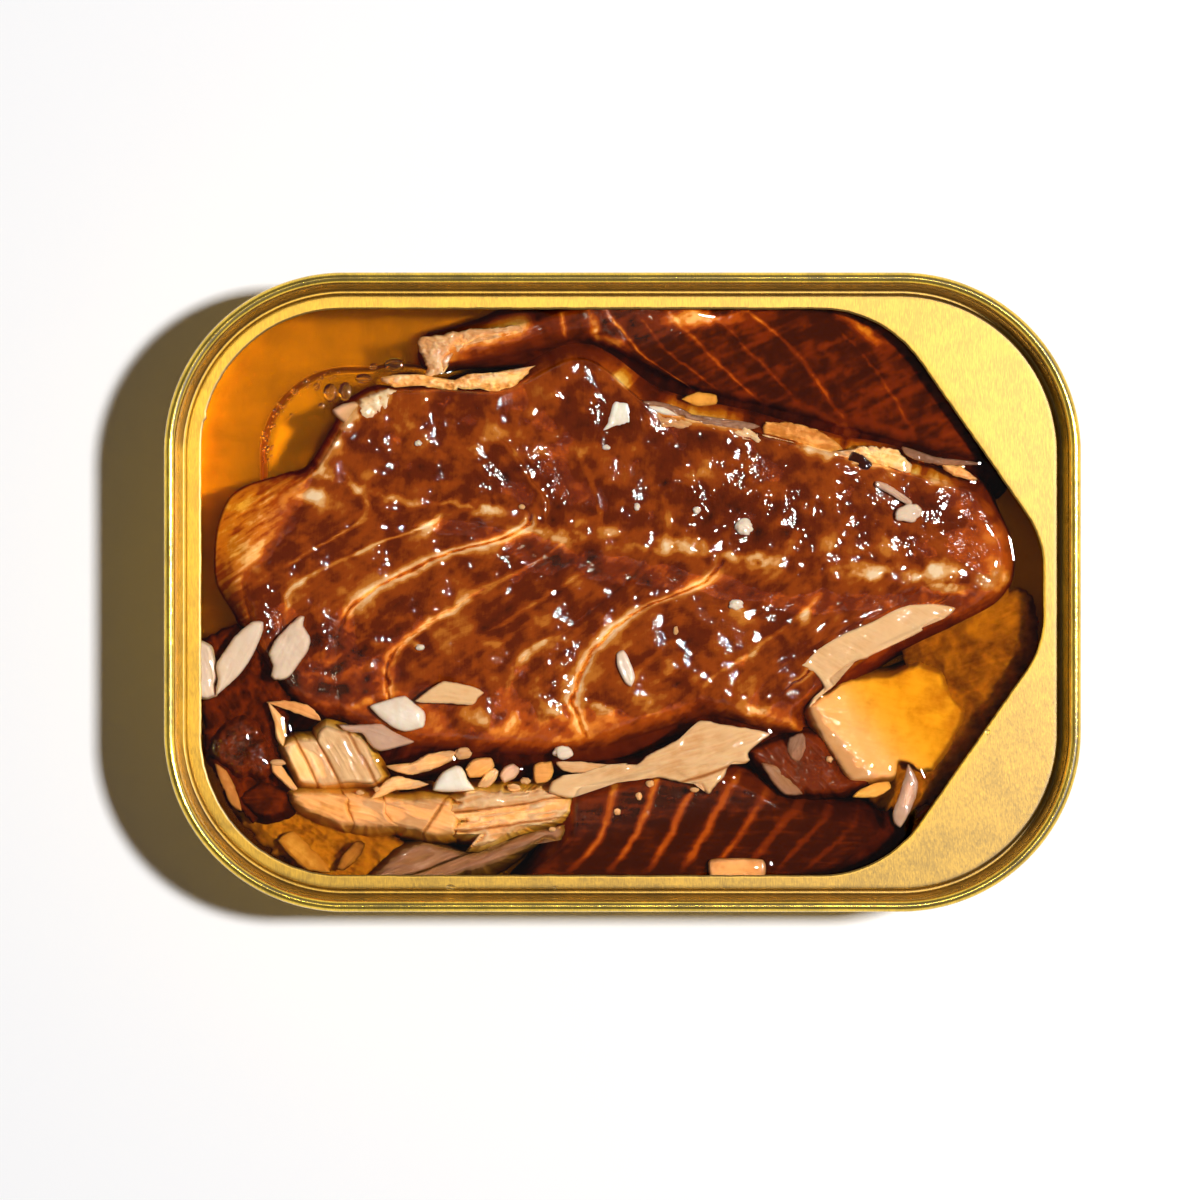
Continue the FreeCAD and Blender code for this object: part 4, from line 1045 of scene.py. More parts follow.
def makeOutlined(node, sizes, seed):
    # Height: a middle less a rounded edge, sunk along one way, with grooves of fibre and breaks across it
    sizes = {**usual, **sizes}
    corners = np.asarray(sizes["corners"], float)
    nextX, nextY = np.roll(corners, -1, axis=0).T
    area = 0.5 * np.sum(corners[:, 0] * nextY - nextX * corners[:, 1])
    if area < 0:
        corners = corners[::-1]
    centre = corners.mean(axis=0)
    reach = np.linalg.norm(corners - centre, axis=1)
    count = int(np.clip(reach.max() * outlineGrid["round"], *outlineGrid["roundLimits"]))
    ringCount = int(np.clip(reach.max() * outlineGrid["rings"], *outlineGrid["ringLimits"]))
    rim = closedLine(corners, count)
    tear = layeredNoise(rim[:, 0] / 0.7, rim[:, 1] / 0.7, seed, 3) * sizes["tear"]
    outward = (rim - centre) / np.linalg.norm(rim - centre, axis=1)[:, None]
    rim = rim + outward * tear[:, None]
    shares = np.linspace(0.02, 1, ringCount)[:, None]
    x = centre[0] + (rim[:, 0] - centre[0]) * shares
    y = centre[1] + (rim[:, 1] - centre[1]) * shares
    gaps = (x[..., None] - rim[:, 0]) ** 2 + (y[..., None] - rim[:, 1]) ** 2
    nearest = np.sqrt(gaps.min(axis=2))
    turn = math.radians(sizes["turn"])
    along = (x - centre[0]) * math.cos(turn) + (y - centre[1]) * math.sin(turn)
    across = (y - centre[1]) * math.cos(turn) - (x - centre[0]) * math.sin(turn)
    across = across + 0.25 * layeredNoise(x / 3, y / 3, seed + 2, 2)
    fibre = 1 - 2 * np.abs(latticeNoise(along / 3.2, across / 0.62, seed + 3))
    fibre += 0.5 * latticeNoise(along / 1.6, across / 0.3, seed + 4)
    lumps = layeredNoise(x / 2.2, y / 2.2, seed + 5, 3)
    depth = 0.7 * sizes["fibre"]
    crumb = sizes["crumb"] * layeredNoise(x / 0.6, y / 0.6, seed + 7, 3)
    top = sizes["tiltAlong"] * along + sizes["tiltAcross"] * across + depth * fibre
    top += sizes["lumps"] * lumps + crumb
    pale = sizes["pale"] + 0.45 * depth * fibre + 0.08 * lumps + 0.9 * crumb
    for place, slant, drop in sizes["breaks"]:
        # a break runs across the piece: a groove darkened with painted shade, then a step down
        wander = 0.15 * layeredNoise(across / 1.2, along * 0 + place, seed + 6, 2)
        past = along - place - slant * across + wander
        line = np.exp(-(past / 0.2) ** 2)
        top -= 0.35 * line + drop * ease(past, -0.1, 0.1)
        pale -= 0.4 * line
    for place, drop in sizes["ribs"]:
        # a rib's edge runs along the fibres: a groove darkened with painted shade, then a step down on its
        # far side
        past = across - place
        line = np.exp(-(past / 0.16) ** 2)
        top -= 0.3 * line + drop * (1 - ease(past, -0.1, 0.1))
        pale -= 0.45 * line
    if "sink" in sizes:
        way, first, last, drop = sizes["sink"]
        travel = x * math.cos(math.radians(way)) + y * math.sin(math.radians(way))
        top -= drop * ease(travel, first, last)
        pale -= 0.12 * ease(travel, first, last)
    rounding = sizes["round"]
    # painted edge shade: a positive value darkens the rim with painted shade, a negative one lightens it with
    # a painted highlight that also stands for the thin rim's translucent fringe
    pale -= sizes.get("edgeTone", -0.06 if "pale" in sizes["finish"] else 0.12) * np.exp(-nearest / 0.3)
    standsOn = "crest" in sizes
    if standsOn:
        z = oilLevel + sizes["crest"] + top - fallOff(nearest, rounding, sizes["fall"])
        z = np.minimum(z, fleshTop)
        sides = []
        for share in (0.12, 0.35, 0.7, 1.0):
            ring = np.column_stack([x[-1], y[-1], z[-1] + (floorLevel - z[-1]) * share])
            ring[:, :2] = insideWall(ring[:, :2] + outward * sizes["flare"] * math.sqrt(share))
            sides.append(ring)
        noteHeights(x, y, z)
        lower = np.stack(sides)
        # painted shade down the sides, ring by ring
        fade = np.array(paintedSideShade)[:, None]
    else:
        if "level" in sizes:
            thick = sizes["thick"]
            middle = oilLevel + sizes["level"] - thick / 2
        else:
            low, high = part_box(node)
            middle, thick = (low[2] + high[2]) / 2 / mm + sizes["lift"], (high[2] - low[2]) / mm
        body = 1 - (1 - np.clip(nearest / min(rounding, thick), 0, 1)) ** 2.4
        z = middle + thick / 2 * np.sqrt(body) + top * body
        under = middle - thick / 2 * np.sqrt(body) + sizes["tiltAlong"] * along * body
        noteHeights(x, y, z)
        lower = np.stack([x, y, under], axis=-1)[-2::-1]
        fade = np.ones((len(lower), 1))
    layers = np.concatenate([np.stack([x, y, z], axis=-1), lower])
    edgePale = np.clip(pale, 0, 1)
    lowerPale = edgePale[-1][None, :] * fade if standsOn else edgePale[-2::-1]
    lowerAlong = np.repeat(along[-1:], len(lower), axis=0) if standsOn else along[-2::-1]
    lowerAcross = np.repeat(across[-1:], len(lower), axis=0) if standsOn else across[-2::-1]
    values = {
        "pale": np.concatenate([edgePale, lowerPale]),
        "along": np.concatenate([along, lowerAlong]) * mm,
        "across": np.concatenate([across, lowerAcross]) * mm,
    }
    quads = gridQuads(len(layers), count, roundColumns=True)[:, ::-1]
    last = len(layers) - 1
    caps = [np.arange(count), np.arange(count)[::-1] + last * count]
    material, slot = finishes[sizes["finish"]]
    name, nodes = (node, []) if "level" in sizes else (camel(node) + "Piece", [node])
    return addPiece(name, layers.reshape(-1, 3), quads, material, nodes, caps, values)


def camel(node):
    first, *rest = node.split("_")
    return first + "".join(word.capitalize() for word in rest)


# A finish's material and its slot
finishes = {
    "paleFlesh": (paleFlesh, "pale_flesh"),
    "softFlesh": (softFlesh, "pale_flesh"),
    "glazedFlesh": (glazedFlesh, "glazed_flesh"),
    "greyFlesh": (greyFlesh, "white_scraps"),
    "whiteFlesh": (whiteFlesh, "white_scraps"),
}

outlined = {
    "flake_right": {
        "corners": [
            (22.3, -13.9), (23, -13.1), (25.05, -11.7), (26.3, -10.65), (29.6, -10.2), (32.4, -10),
            (34.1, -9.2), (35.7, -8.8), (38.2, -9.8), (38.8, -11.3), (39.95, -13.1), (40.9, -14.3),
            (40.5, -16), (39.4, -18), (38.4, -19.7), (37, -21.1), (35.3, -21.5), (34.5, -20.7),
            (33.1, -20.3), (32.65, -22.05), (30, -22.4), (27.3, -22.5), (25.7, -20.3), (24.8, -18.9),
            (23.8, -17.2), (22.8, -15.4)],
        "crest": 0.75, "turn": -12, "pale": 0.57, "finish": "softFlesh", "fall": 1.0, "tear": 0.12,
        "sink": (38, 9.0, 20.0, 4.2), "flare": 1.2},
    "corner_flesh": {
        "corners": [
            (15.2, -18.9), (18, -18), (22, -16.8), (24, -17.4), (25.4, -19.4), (26.6, -21.6), (29.6, -22.6),
            (26.3, -24), (22.8, -24.2), (20.1, -24.2), (18, -22.6), (16.4, -20.8)],
        "crest": 0.3, "turn": -48, "pale": 0.2, "finish": "glazedFlesh", "fibre": 0.12, "lumps": 0.5,
        "round": 1.2},
    "flake_block": {
        "corners": [
            (-40.6, -18.6), (-40.1, -18), (-38.5, -17.6), (-36.65, -17.5), (-36.5, -16.8), (-35.5, -16),
            (-33.9, -16.4), (-32.1, -17), (-31, -17.7), (-30.2, -19), (-29.7, -20.4), (-28.8, -22.1),
            (-29.9, -23), (-32.1, -22.8), (-35.9, -23.2), (-37.9, -23), (-38.8, -22.6), (-39.6, -21)],
        "crest": 0.95, "turn": -62, "pale": 0.68, "fibre": 0.1, "round": 0.5, "tear": 0.1,
        "tiltAcross": 0.05, "ribs": [(-2.9, 0.12), (-0.6, 0.35), (3.2, -0.2)]},
    "row_flake_1": {
        "corners": [
            (-39.6, -24.1), (-37.8, -23.9), (-35.9, -24), (-32.8, -24.4), (-32.8, -25.5), (-32.4, -26.6),
            (-31.6, -27.9), (-33.7, -28), (-35.2, -27.2), (-37.9, -26.1), (-39.4, -25)],
        "crest": 0.5, "turn": -22, "pale": 0.5, "fibre": 0.14, "round": 0.7, "flare": 2.2, "tear": 0.16,
        "tiltAlong": 0.04},
    "row_flake_2": {
        "corners": [
            (-33.4, -24), (-30.5, -24.4), (-28.3, -25), (-28.1, -26.6), (-26.6, -28), (-28.4, -28.2),
            (-30.4, -28.2), (-32, -28), (-32.7, -26.6), (-33, -25.2)],
        "crest": 0.62, "turn": -20, "pale": 0.54, "fibre": 0.14, "flare": 2.2, "tear": 0.14,
        "tiltAlong": 0.05},
    "row_flake_3": {
        "corners": [
            (-28.5, -24.6), (-25.5, -24.9), (-23.2, -24.7), (-20.6, -25), (-19.6, -27), (-20.1, -28.9),
            (-22.8, -29.1), (-25.5, -28.4), (-27.6, -27.8), (-28.7, -26.2)],
        "crest": 0.7, "turn": -16, "pale": 0.56, "fibre": 0.14, "flare": 2.2, "tear": 0.16,
        "breaks": [(1.6, 0.3, 0.12)]},
    "frayed_flesh": {
        "corners": [
            (-21.1, -26.6), (-20.9, -25.8), (-19.6, -25.2), (-20.1, -24.8), (-18.3, -23.9), (-15.2, -24),
            (-12.4, -23.9), (-10, -23.5), (-8, -23.9), (-6.1, -24.8), (-6.6, -26.4), (-7.7, -27.2),
            (-9.5, -27.7), (-11.8, -28.2), (-13.1, -28.7), (-14.9, -29.5), (-17.3, -30.4), (-18.3, -30.5),
            (-16.7, -29.2), (-19.1, -28.9), (-20.5, -28.6), (-20.4, -27.9), (-18.8, -27.4), (-20.6, -27.2)],
        "crest": 0.9, "turn": 8, "pale": 0.64, "fibre": 0.3, "tear": 0.4, "crumb": 0.12, "lumps": 0.25,
        "flare": 2.5, "ribs": [(1.1, 0.25), (-1.2, -0.2)]},
    "front_flesh": {
        "corners": [
            (-30.4, -34.6), (-28.8, -33), (-26.6, -31), (-23.7, -30.1), (-21.7, -30.6), (-18.3, -31.2),
            (-15.2, -30.6), (-12.4, -29), (-10.4, -28.6), (-7.2, -27.9), (-7.6, -29.75), (-9.2, -29.4),
            (-11.3, -30.6), (-13.9, -31.8), (-16.4, -33), (-19.1, -33.6), (-22, -34.6), (-27, -35.2)],
        "crest": 0.1, "turn": 20, "pale": 0.4, "finish": "greyFlesh", "fibre": 0.3, "round": 0.8,
        "tear": 0.3, "flare": 2.0, "ribs": [(0.4, 0.2)]},
    "dark_lump": {
        "corners": [
            (-45.6, -14.6), (-44.2, -15.6), (-43.4, -17), (-42.3, -18.4), (-42, -20.6), (-42.75, -22.2),
            (-43.6, -22.4), (-44.7, -21.6), (-45.6, -22), (-47.2, -20.9), (-49.2, -19.3), (-48.5, -17.5),
            (-47.6, -15.7)],
        "crest": 0.4, "turn": 30, "pale": 0.1, "finish": "glazedFlesh", "fibre": 0.12, "lumps": 0.7,
        "crumb": 0.12, "round": 1.2, "flare": 2.0, "edgeTone": -0.1},
    "dark_flesh": {
        "corners": [
            (-46, -24.6), (-43, -22.6), (-40.3, -23.8), (-40.2, -26.4), (-43.5, -27)],
        "crest": -0.4, "pale": 0.1, "finish": "glazedFlesh", "fibre": 0.1, "lumps": 0.3, "round": 1.0,
        "flare": 2.5},
    "flap_front": {
        "corners": [
            (-8.85, -23.8), (-8.5, -22.8), (-7.2, -21.9), (-5.1, -21.7), (-3, -21), (-1.5, -20.6),
            (0.1, -20.6), (1.6, -20.7), (3.2, -19.4), (5.3, -18.4), (7.1, -17.2), (8.6, -15.8),
            (9.5, -15.3), (12, -15.8), (15.1, -16.3), (17.7, -16.9), (16.6, -17.8), (15.6, -18.6),
            (15, -19.3), (15.2, -20), (14.7, -20.5), (13.3, -20.4), (12.5, -21), (12.2, -22), (11.2, -23),
            (10.4, -24.1), (9.8, -23.8), (9.4, -23), (7.3, -22.8), (4.2, -22.2), (1.6, -22.5), (-2.5, -23),
            (-5.1, -23.3), (-6.1, -24.6), (-7.7, -24.3)],
        "turn": 17, "pale": 0.7, "fibre": 0.12, "tear": 0.14, "round": 0.5, "lift": -0.1,
        "tiltAcross": -0.06, "ribs": [(-2.4, -0.12)]},
    "white_chip": {
        "corners": [
            (-30.2, -13.7), (-29.2, -13.2), (-27.2, -12.6), (-26, -12.4), (-24.8, -13.3), (-23.7, -14.2),
            (-23.5, -15.3), (-23.9, -16.2), (-25.9, -16.7), (-27.4, -16.2), (-29, -15)],
        "turn": -25, "pale": 0.84, "finish": "whiteFlesh", "fibre": 0.01, "lumps": 0.06, "tear": 0.05,
        "round": 1.4},
    "beige_chip": {
        "corners": [
            (-24.7, -12.9), (-23.2, -11.7), (-21.5, -10.6), (-19.9, -10.8), (-17.5, -11.4), (-16.6, -12),
            (-17.2, -12.6), (-17.9, -13.5), (-21, -13.3), (-24.1, -13.2)],
        "turn": -6, "pale": 0.74, "fibre": 0.07, "tear": 0.1, "round": 0.4},
    "pink_chip": {
        "corners": [
            (-33.9, -15.9), (-32.1, -15.9), (-30.1, -15.8), (-28.8, -15.8), (-27.2, -16.8), (-24.9, -17.9),
            (-26.6, -18.5), (-29, -19), (-30.1, -18.4), (-31.2, -16.9), (-33.2, -16.6)],
        "turn": -14, "pale": 0.4, "finish": "whiteFlesh", "fibre": 0.06, "tear": 0.08, "round": 0.4},
    "white_wedge": {
        "corners": [
            (-22.7, -23.7), (-21.7, -21.7), (-20.1, -20.8), (-19.2, -21), (-18.4, -22.6), (-17.7, -23.7),
            (-20.1, -23.9)],
        "turn": 20, "pale": 0.92, "finish": "whiteFlesh", "fibre": 0.01, "lumps": 0.05, "tear": 0.05,
        "round": 1.0},
    "wall_chip": {
        "corners": [
            (-50.9, -6), (-49.3, -6.5), (-48.7, -8.2), (-48.4, -9.9), (-48.8, -11), (-48.6, -12.4),
            (-50.9, -12.5)],
        "turn": 100, "pale": 0.72, "finish": "whiteFlesh", "fibre": 0.06, "tear": 0.08, "round": 0.4},
    "left_chip_outer": {
        "corners": [
            (-44.4, -3.6), (-43.5, -3.4), (-42.9, -3.6), (-43, -4.8), (-43.6, -6.3), (-44.4, -7.9),
            (-45.6, -9.7), (-47.3, -11.3), (-48.5, -12.3), (-48.6, -11.7), (-48.4, -10.4), (-48.6, -8.8),
            (-47.8, -7.3), (-46.3, -5.2)],
        "turn": 60, "pale": 0.7, "finish": "whiteFlesh", "tear": 0.08, "round": 0.8},
    "left_chip_inner": {
        "corners": [
            (-38.65, -2.9), (-38, -3), (-38.1, -4), (-37.2, -5.7), (-37.65, -7.1), (-38.8, -8.8),
            (-40, -10.3), (-41.4, -10.5), (-42, -10.05), (-41.75, -8.8), (-42.3, -7.4), (-41.5, -5.7),
            (-40.1, -4.2)],
        "turn": 62, "pale": 0.68, "finish": "whiteFlesh", "fibre": 0.04, "lumps": 0.25, "tear": 0.1,
        "round": 0.8},
    "strip_upper": {
        "corners": [
            (-28.3, -20.8), (-25.4, -20.6), (-23.5, -19.5), (-20.6, -19), (-20, -19.3), (-20.4, -20.1),
            (-22.4, -21.1), (-25.2, -21.9), (-27.2, -21.5)],
        "turn": 14, "pale": 0.58, "fibre": 0.12, "tear": 0.14, "round": 0.4},
    "strip_lower": {
        "corners": [
            (-30.1, -24.7), (-28.6, -22.8), (-27, -22), (-25, -22.4), (-23.2, -23), (-24.8, -23.5),
            (-27.2, -23.7), (-28.8, -24.5)],
        "turn": 12, "pale": 0.62, "fibre": 0.12, "tear": 0.14, "round": 0.4},
    "curved_strip": {
        "corners": [
            (-42.4, -13.3), (-41.6, -13.9), (-40.5, -15.3), (-40.3, -17), (-40.6, -18.5), (-41.4, -17.5),
            (-41.6, -15.7)],
        "turn": -68, "pale": 0.6, "fibre": 0.08, "tear": 0.08, "round": 0.35},
    "thin_strip": {
        "corners": [
            (-42, -20.3), (-41, -20.6), (-39.9, -22.1), (-38.9, -23.5), (-39.6, -23.7), (-41, -22.4),
            (-41.9, -21.5)],
        "turn": -48, "pale": 0.52, "fibre": 0.08, "tear": 0.08, "round": 0.35},
    "tan_lump_left": {
        "corners": [
            (-18.8, -21.2), (-17.8, -20.05), (-15.8, -19.9), (-15.4, -20.95), (-16.5, -22), (-18.3, -22.2)],
        "turn": 30, "pale": 0.5, "tear": 0.08, "round": 0.5},
    "tan_lump_right": {
        "corners": [
            (-17.4, -23.3), (-16.5, -21.8), (-15.4, -21.1), (-14.8, -21.5), (-15.2, -22.5), (-16.1, -23.4)],
        "turn": 50, "pale": 0.62, "tear": 0.06, "round": 0.4},
    "grey_lump": {
        "corners": [(-14.7, -22), (-14.15, -20.95), (-13.1, -20.6), (-12.3, -21.2), (-12.9, -22.2),
                    (-14.15, -22.8)],
        "turn": 40, "pale": 0.42, "finish": "whiteFlesh", "fibre": 0.04, "tear": 0.06, "round": 0.4},
    "amber_lump": {
        "corners": [
            (-10.7, -21.7), (-10.5, -20.6), (-8.5, -20.3), (-8.1, -21.5), (-8.7, -22.8), (-10.3, -23)],
        "pale": 0.4, "tear": 0.06, "round": 0.5},
    "sunk_strip_long": {
        "corners": [
            (-41.4, -29.7), (-39.6, -28.6), (-37.9, -30.1), (-36.1, -31.9), (-35, -33.6), (-37.6, -33.4),
            (-39.6, -31.9)],
        "turn": -45, "pale": 0.42, "finish": "softFlesh", "tear": 0.15, "edgeTone": 0.25},
    "sunk_strip_short": {
        "corners": [
            (-30.8, -30.1), (-31.4, -31.5), (-33, -33.2), (-34.3, -33.2), (-33.6, -31.5), (-32.1, -29.9)],
        "turn": 48, "pale": 0.26, "finish": "softFlesh", "tear": 0.15, "edgeTone": 0.2},
    "grey_sliver": {
        "corners": [
            (34.2, -20.6), (34.7, -21.3), (35.4, -22.8), (35.1, -24.6), (34.3, -26.5), (33.3, -28.2),
            (32.55, -27.7), (32.35, -26.5), (33.1, -24.4), (33.8, -22.2)],
        "turn": 76, "pale": 0.3, "finish": "whiteFlesh", "fibre": 0.04, "tear": 0.05, "round": 0.5},
    "pale_block": {
        "corners": [
            (10.3, -32.4), (11.2, -31.95), (16.8, -32.1), (16.9, -34.2), (14.1, -34.3), (10.7, -34.3)],
        "pale": 0.5, "finish": "softFlesh", "fibre": 0.04, "tear": 0.05, "round": 0.4},
    "pink_strip": {
        "corners": [
            (-28.9, 25.7), (-27.9, 25.9), (-26.05, 26), (-23.3, 25.9), (-21, 25.4), (-19.7, 25.4),
            (-18.3, 26.1), (-16.5, 26.1), (-14.9, 26.2), (-12.8, 25.9), (-10.5, 27.1), (-12.4, 25),
            (-14.2, 24.2), (-15.3, 23.9), (-16.9, 24.4), (-18.7, 24.3), (-21, 24.1), (-23.3, 24.6),
            (-25.6, 24.7), (-27.2, 24.5), (-28.3, 25)],
        "pale": 0.58, "fibre": 0.06, "tear": 0.45, "round": 0.5, "lumps": 0.25, "crumb": 0.34},
    "sunk_bit": {
        "corners": [
            (7, 23.1), (9, 24), (11.2, 23.6), (11.2, 22.5), (9, 22.2)],
        "pale": 0.5, "finish": "softFlesh", "tear": 0.1, "round": 0.4},
    "yellow_bit": {
        "corners": [
            (27.6, -24.6), (28.3, -23.7), (30.4, -22.7), (32, -22.7), (32.2, -23.6), (30.4, -24.6)],
        "turn": 20, "pale": 0.55, "finish": "softFlesh", "tear": 0.08, "round": 0.4},
    "grey_flake": {
        "corners": [
            (32.6, 8.7), (32.9, 10), (35.2, 10.6), (35.8, 9.65), (34.8, 8.4)],
        "turn": 20, "pale": 0.66, "finish": "whiteFlesh", "tear": 0.2, "round": 0.4},
    "stick": {
        "corners": [
            (30.2, 13.3), (31.7, 12.9), (34.6, 10.9), (34.3, 10.3), (31.6, 11.9), (30.3, 12.6)],
        "turn": -35, "pale": 0.5, "finish": "whiteFlesh", "fibre": 0.1, "tear": 0.1, "round": 0.35},
    "edge_flake_left": {
        "corners": [
            (26.6, 15.9), (28.2, 17.2), (30, 17.5), (32.9, 16.8), (34.6, 15.2), (34.2, 14.2), (32.2, 14.9),
            (30, 15.4), (28.4, 16.2)],
        "turn": -14, "pale": 0.7, "fibre": 0.16, "tear": 0.4, "crumb": 0.2, "round": 0.4, "lumps": 0.2},
    "edge_flake_right": {
        "corners": [
            (38.2, 15.4), (40.4, 15), (42.7, 13.4), (41, 13.6), (38.8, 14.5)],
        "turn": -20, "pale": 0.5, "fibre": 0.1, "tear": 0.3, "crumb": 0.2, "round": 0.4},
    "white_sliver": {
        "corners": [
            (-0.7, -7.4), (0.1, -6.9), (0.8, -8), (1.5, -10.2), (1.1, -11.3), (0.3, -10.8), (-0.6, -9)],
        "turn": -70, "pale": 0.8, "finish": "whiteFlesh", "tear": 0.06, "round": 0.5},
}

